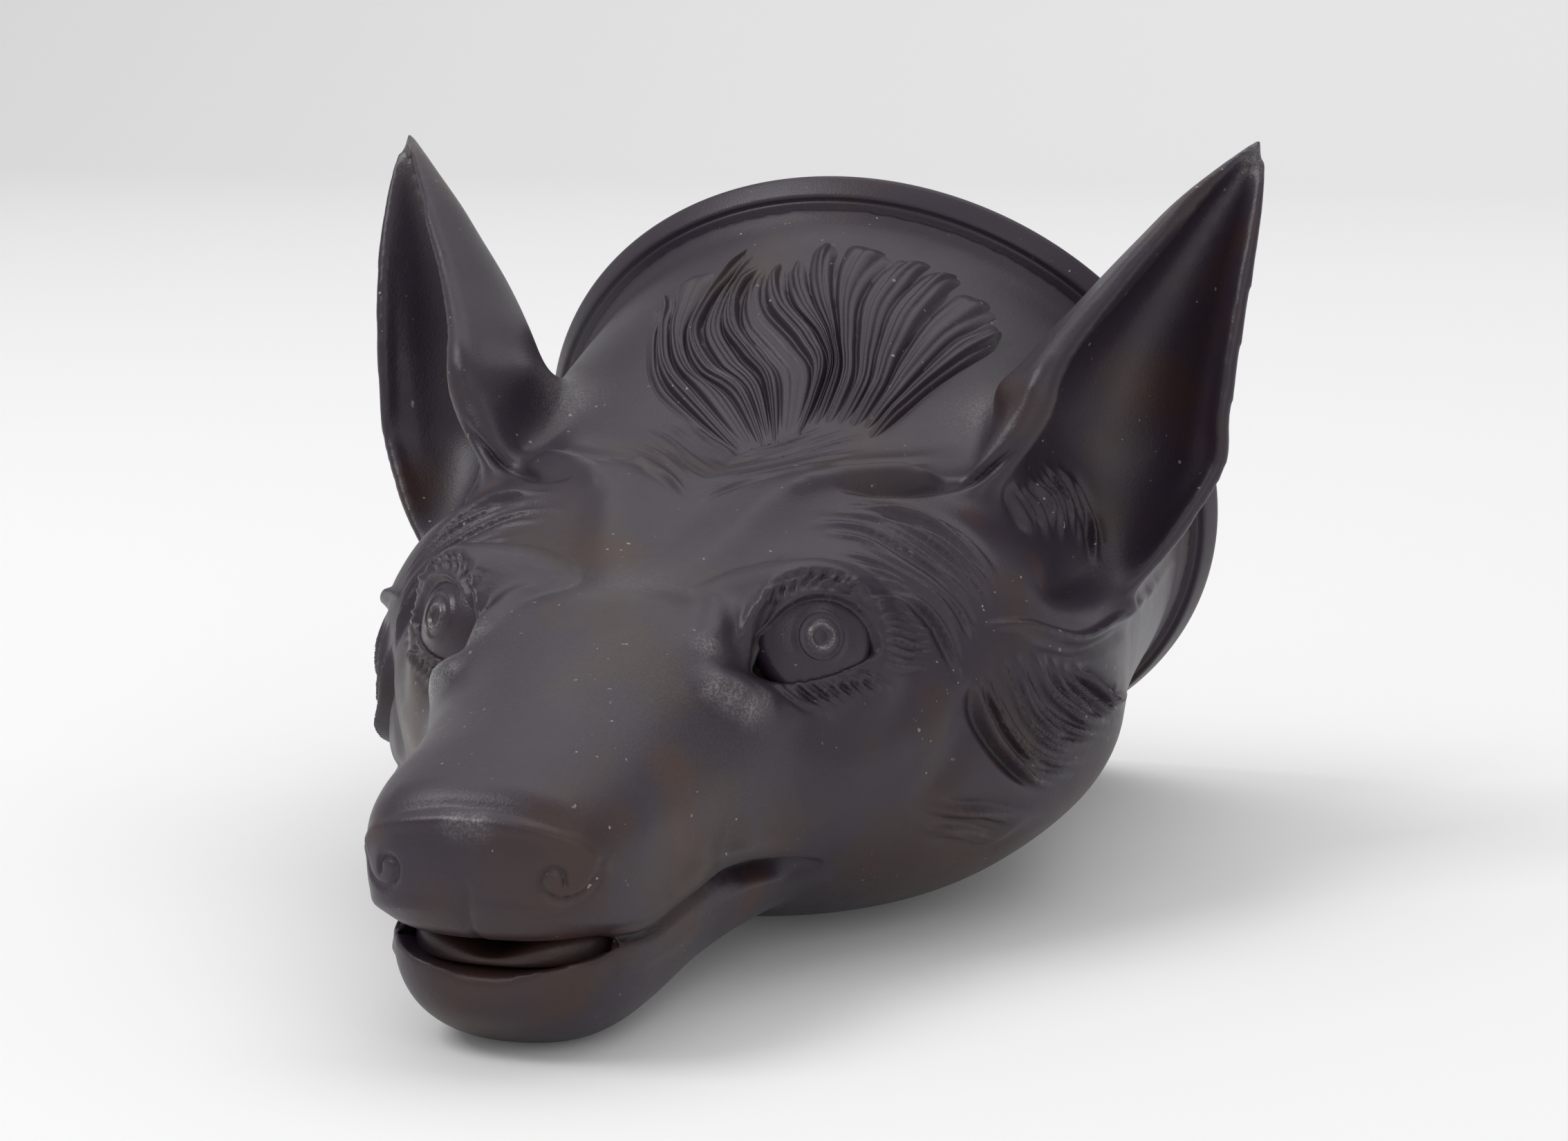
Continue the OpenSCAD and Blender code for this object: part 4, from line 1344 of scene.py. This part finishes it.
def make_cup():
    """All pieces of the cup."""
    # The handled and polished finishes carry painted highlights and painted shade
    worn_with_painted_light = stoneware("black_stoneware_handled_with_painted_light", True, HANDLED_ROUGH)
    plain = stoneware("black_stoneware_turned", False, TURNED_ROUGH)
    polished = stoneware("black_stoneware_polished_with_painted_light", True, POLISHED_ROUGH)
    inside = stoneware("black_stoneware_bowl", False, BOWL_ROUGH)

    skin = fused_skin()
    sculpt(skin)
    skin_tree = tree_of(skin.data)
    open_mouth_of_cup(skin)
    thin_out(skin, MOST_TRIANGLES)
    wear_and_painted_light_of(skin.data, skin_tree)
    forelock = forelock_piece(skin_tree)
    wear_and_painted_light_of(forelock.data, skin_tree)

    lip = turned("lip_ring", LIP_PROFILE, LIP_SIDES, False)
    stand_at(lip, SEAT, CUP_AXIS)
    left_eye = turned("left_eyeball", EYE_PROFILE, EYE_SIDES, True)
    from_middle = np.linalg.norm(read_points(left_eye.data)[:, :2], axis=1)
    # Painted highlight on the raised ring round the pupil; its middle is marked as a hollow and so painted
    # darker
    add_values(left_eye.data, "rubbed_and_highlight", bell(from_middle - PUPIL_RING, PUPIL_RING_REACH))
    add_values(left_eye.data, "hollow", HOLLOW_FLAT + (1 - HOLLOW_FLAT) * bell(from_middle, PUPIL_REACH))
    add_values(left_eye.data, "browned", np.zeros(len(from_middle)))
    stand_at(left_eye, EYE_AT, EYE_LOOK)
    right_eye = mirror_copy(left_eye, "right_eyeball")
    tongue = tongue_piece()
    bowl = wrapped_grid("bowl_lining", cavity_rows(), False)
    turn_faces(bowl, True)

    for piece in (skin, forelock, tongue, bowl):
        to_metres(piece)
        smooth_by_angle(piece, MOULDED_SMOOTH)
    for piece in (lip, left_eye, right_eye):
        to_metres(piece)
        smooth_by_angle(piece, TURNED_SMOOTH)
    dress(skin, worn_with_painted_light, "head_shell", "left_ear", "right_ear", "lower_jaw")
    dress(forelock, worn_with_painted_light, "forelock")
    dress(lip, plain, "rim_collar")
    dress(left_eye, polished, "left_eye")
    dress(right_eye, polished, "right_eye")
    dress(tongue, plain, "tongue")
    dress(bowl, inside)


# Studio in metres: the floor's sheet with its sweep, its paper, and the light of the room
SWEEP_NEAR = 2.5
SWEEP_FAR = 1.6
SWEEP_HALF = 3.0
SWEEP_BEND = 0.9
SWEEP_BEND_SHARE = 0.8
SWEEP_STEPS = 24
SWEEP_TALL = 2.5
FLOOR_PALE = (0.8, 0.8, 0.8, 1)
FLOOR_ROUGH = 0.9
FLOOR_GLOSS = 0.1
FLOOR_GLOW = 0.04
WHITE = (1, 1, 1, 1)
WORLD_GLOW = 0.54
# Soft lights: name, place, the place that each one faces, size and power
LIGHTS = [
    ("key_softbox", (-0.5, -0.4, 0.75), (0, 0, 0.03), 0.4, 3.6),
    ("fill_softbox", (0.75, -0.9, 0.6), (0, 0, 0.03), 1.0, 2.8),
    ("top_softbox", (0.0, 0.9, 1.9), (0, 1.9, 0.3), 2.4, 20.0),
]


def make_studio():
    """A pale floor that sweeps up behind the cup, a pale room and the soft lights."""
    deselect()
    bpy.ops.mesh.primitive_plane_add(size=1)
    sweep = bpy.context.object
    sweep.name = "studio_sweep"
    corners = np.array([[-SWEEP_HALF, -SWEEP_NEAR, 0], [SWEEP_HALF, -SWEEP_NEAR, 0],
                        [-SWEEP_HALF, SWEEP_FAR, 0], [SWEEP_HALF, SWEEP_FAR, 0]])
    write_points(sweep.data, corners)
    bpy.ops.object.mode_set(mode="EDIT")
    bpy.ops.mesh.select_all(action="DESELECT")
    bpy.ops.object.mode_set(mode="OBJECT")
    for edge in sweep.data.edges:
        edge.select = all(sweep.data.vertices[i].co.y > 0 for i in edge.vertices)
    bpy.context.tool_settings.mesh_select_mode = (False, True, False)
    bpy.ops.object.mode_set(mode="EDIT")
    bpy.ops.mesh.extrude_edges_move(TRANSFORM_OT_translate={"value": (0, SWEEP_BEND, 0)})
    bpy.ops.mesh.extrude_edges_move(TRANSFORM_OT_translate={"value": (0, 0, SWEEP_TALL)})
    bpy.ops.object.mode_set(mode="OBJECT")
    bend = sweep.modifiers.new("bend", "BEVEL")
    bend.width = SWEEP_BEND * SWEEP_BEND_SHARE
    bend.segments = SWEEP_STEPS
    bend.limit_method = "ANGLE"
    bpy.ops.object.modifier_apply(modifier=bend.name)
    smooth_by_angle(sweep, FLOOR_SMOOTH)
    paper = bpy.data.materials.new("studio_paper")
    paper.use_nodes = True
    surface = paper.node_tree.nodes["Principled BSDF"]
    surface.inputs["Base Color"].default_value = FLOOR_PALE
    surface.inputs["Roughness"].default_value = FLOOR_ROUGH
    surface.inputs["Specular IOR Level"].default_value = FLOOR_GLOSS
    surface.inputs["Emission Color"].default_value = WHITE
    surface.inputs["Emission Strength"].default_value = FLOOR_GLOW
    sweep.data.materials.append(paper)

    world = bpy.data.worlds.new("studio")
    world.use_nodes = True
    room = world.node_tree.nodes["Background"]
    room.inputs["Color"].default_value = WHITE
    room.inputs["Strength"].default_value = WORLD_GLOW
    bpy.context.scene.world = world
    for light in LIGHTS:
        add_light(*light)


def add_light(name, place, aim_at, size, power):
    """A square soft light that faces a place."""
    light = bpy.data.lights.new(name, "AREA")
    light.size = size
    light.energy = power
    lamp = bpy.data.objects.new(name, light)
    bpy.context.scene.collection.objects.link(lamp)
    lamp.location = place
    aim = Vector(aim_at) - Vector(place)
    lamp.rotation_euler = aim.to_track_quat("-Z", "Y").to_euler()


def make_camera():
    """The photograph's camera."""
    data = bpy.data.cameras.new("camera")
    data.sensor_width = SENSOR_MM
    data.lens = FOCAL_PX / PHOTO_WIDE * SENSOR_MM
    data.clip_start = CAMERA_NEAR * MM
    camera = bpy.data.objects.new("camera", data)
    bpy.context.scene.collection.objects.link(camera)
    camera.location = Vector(camera_place() * MM)
    camera.rotation_euler = (math.pi / 2 - CAMERA_RISE, 0, CAMERA_TURN)
    bpy.context.scene.camera = camera


bpy.context.scene.view_settings.view_transform = "Standard"
make_camera()
make_cup()
make_studio()
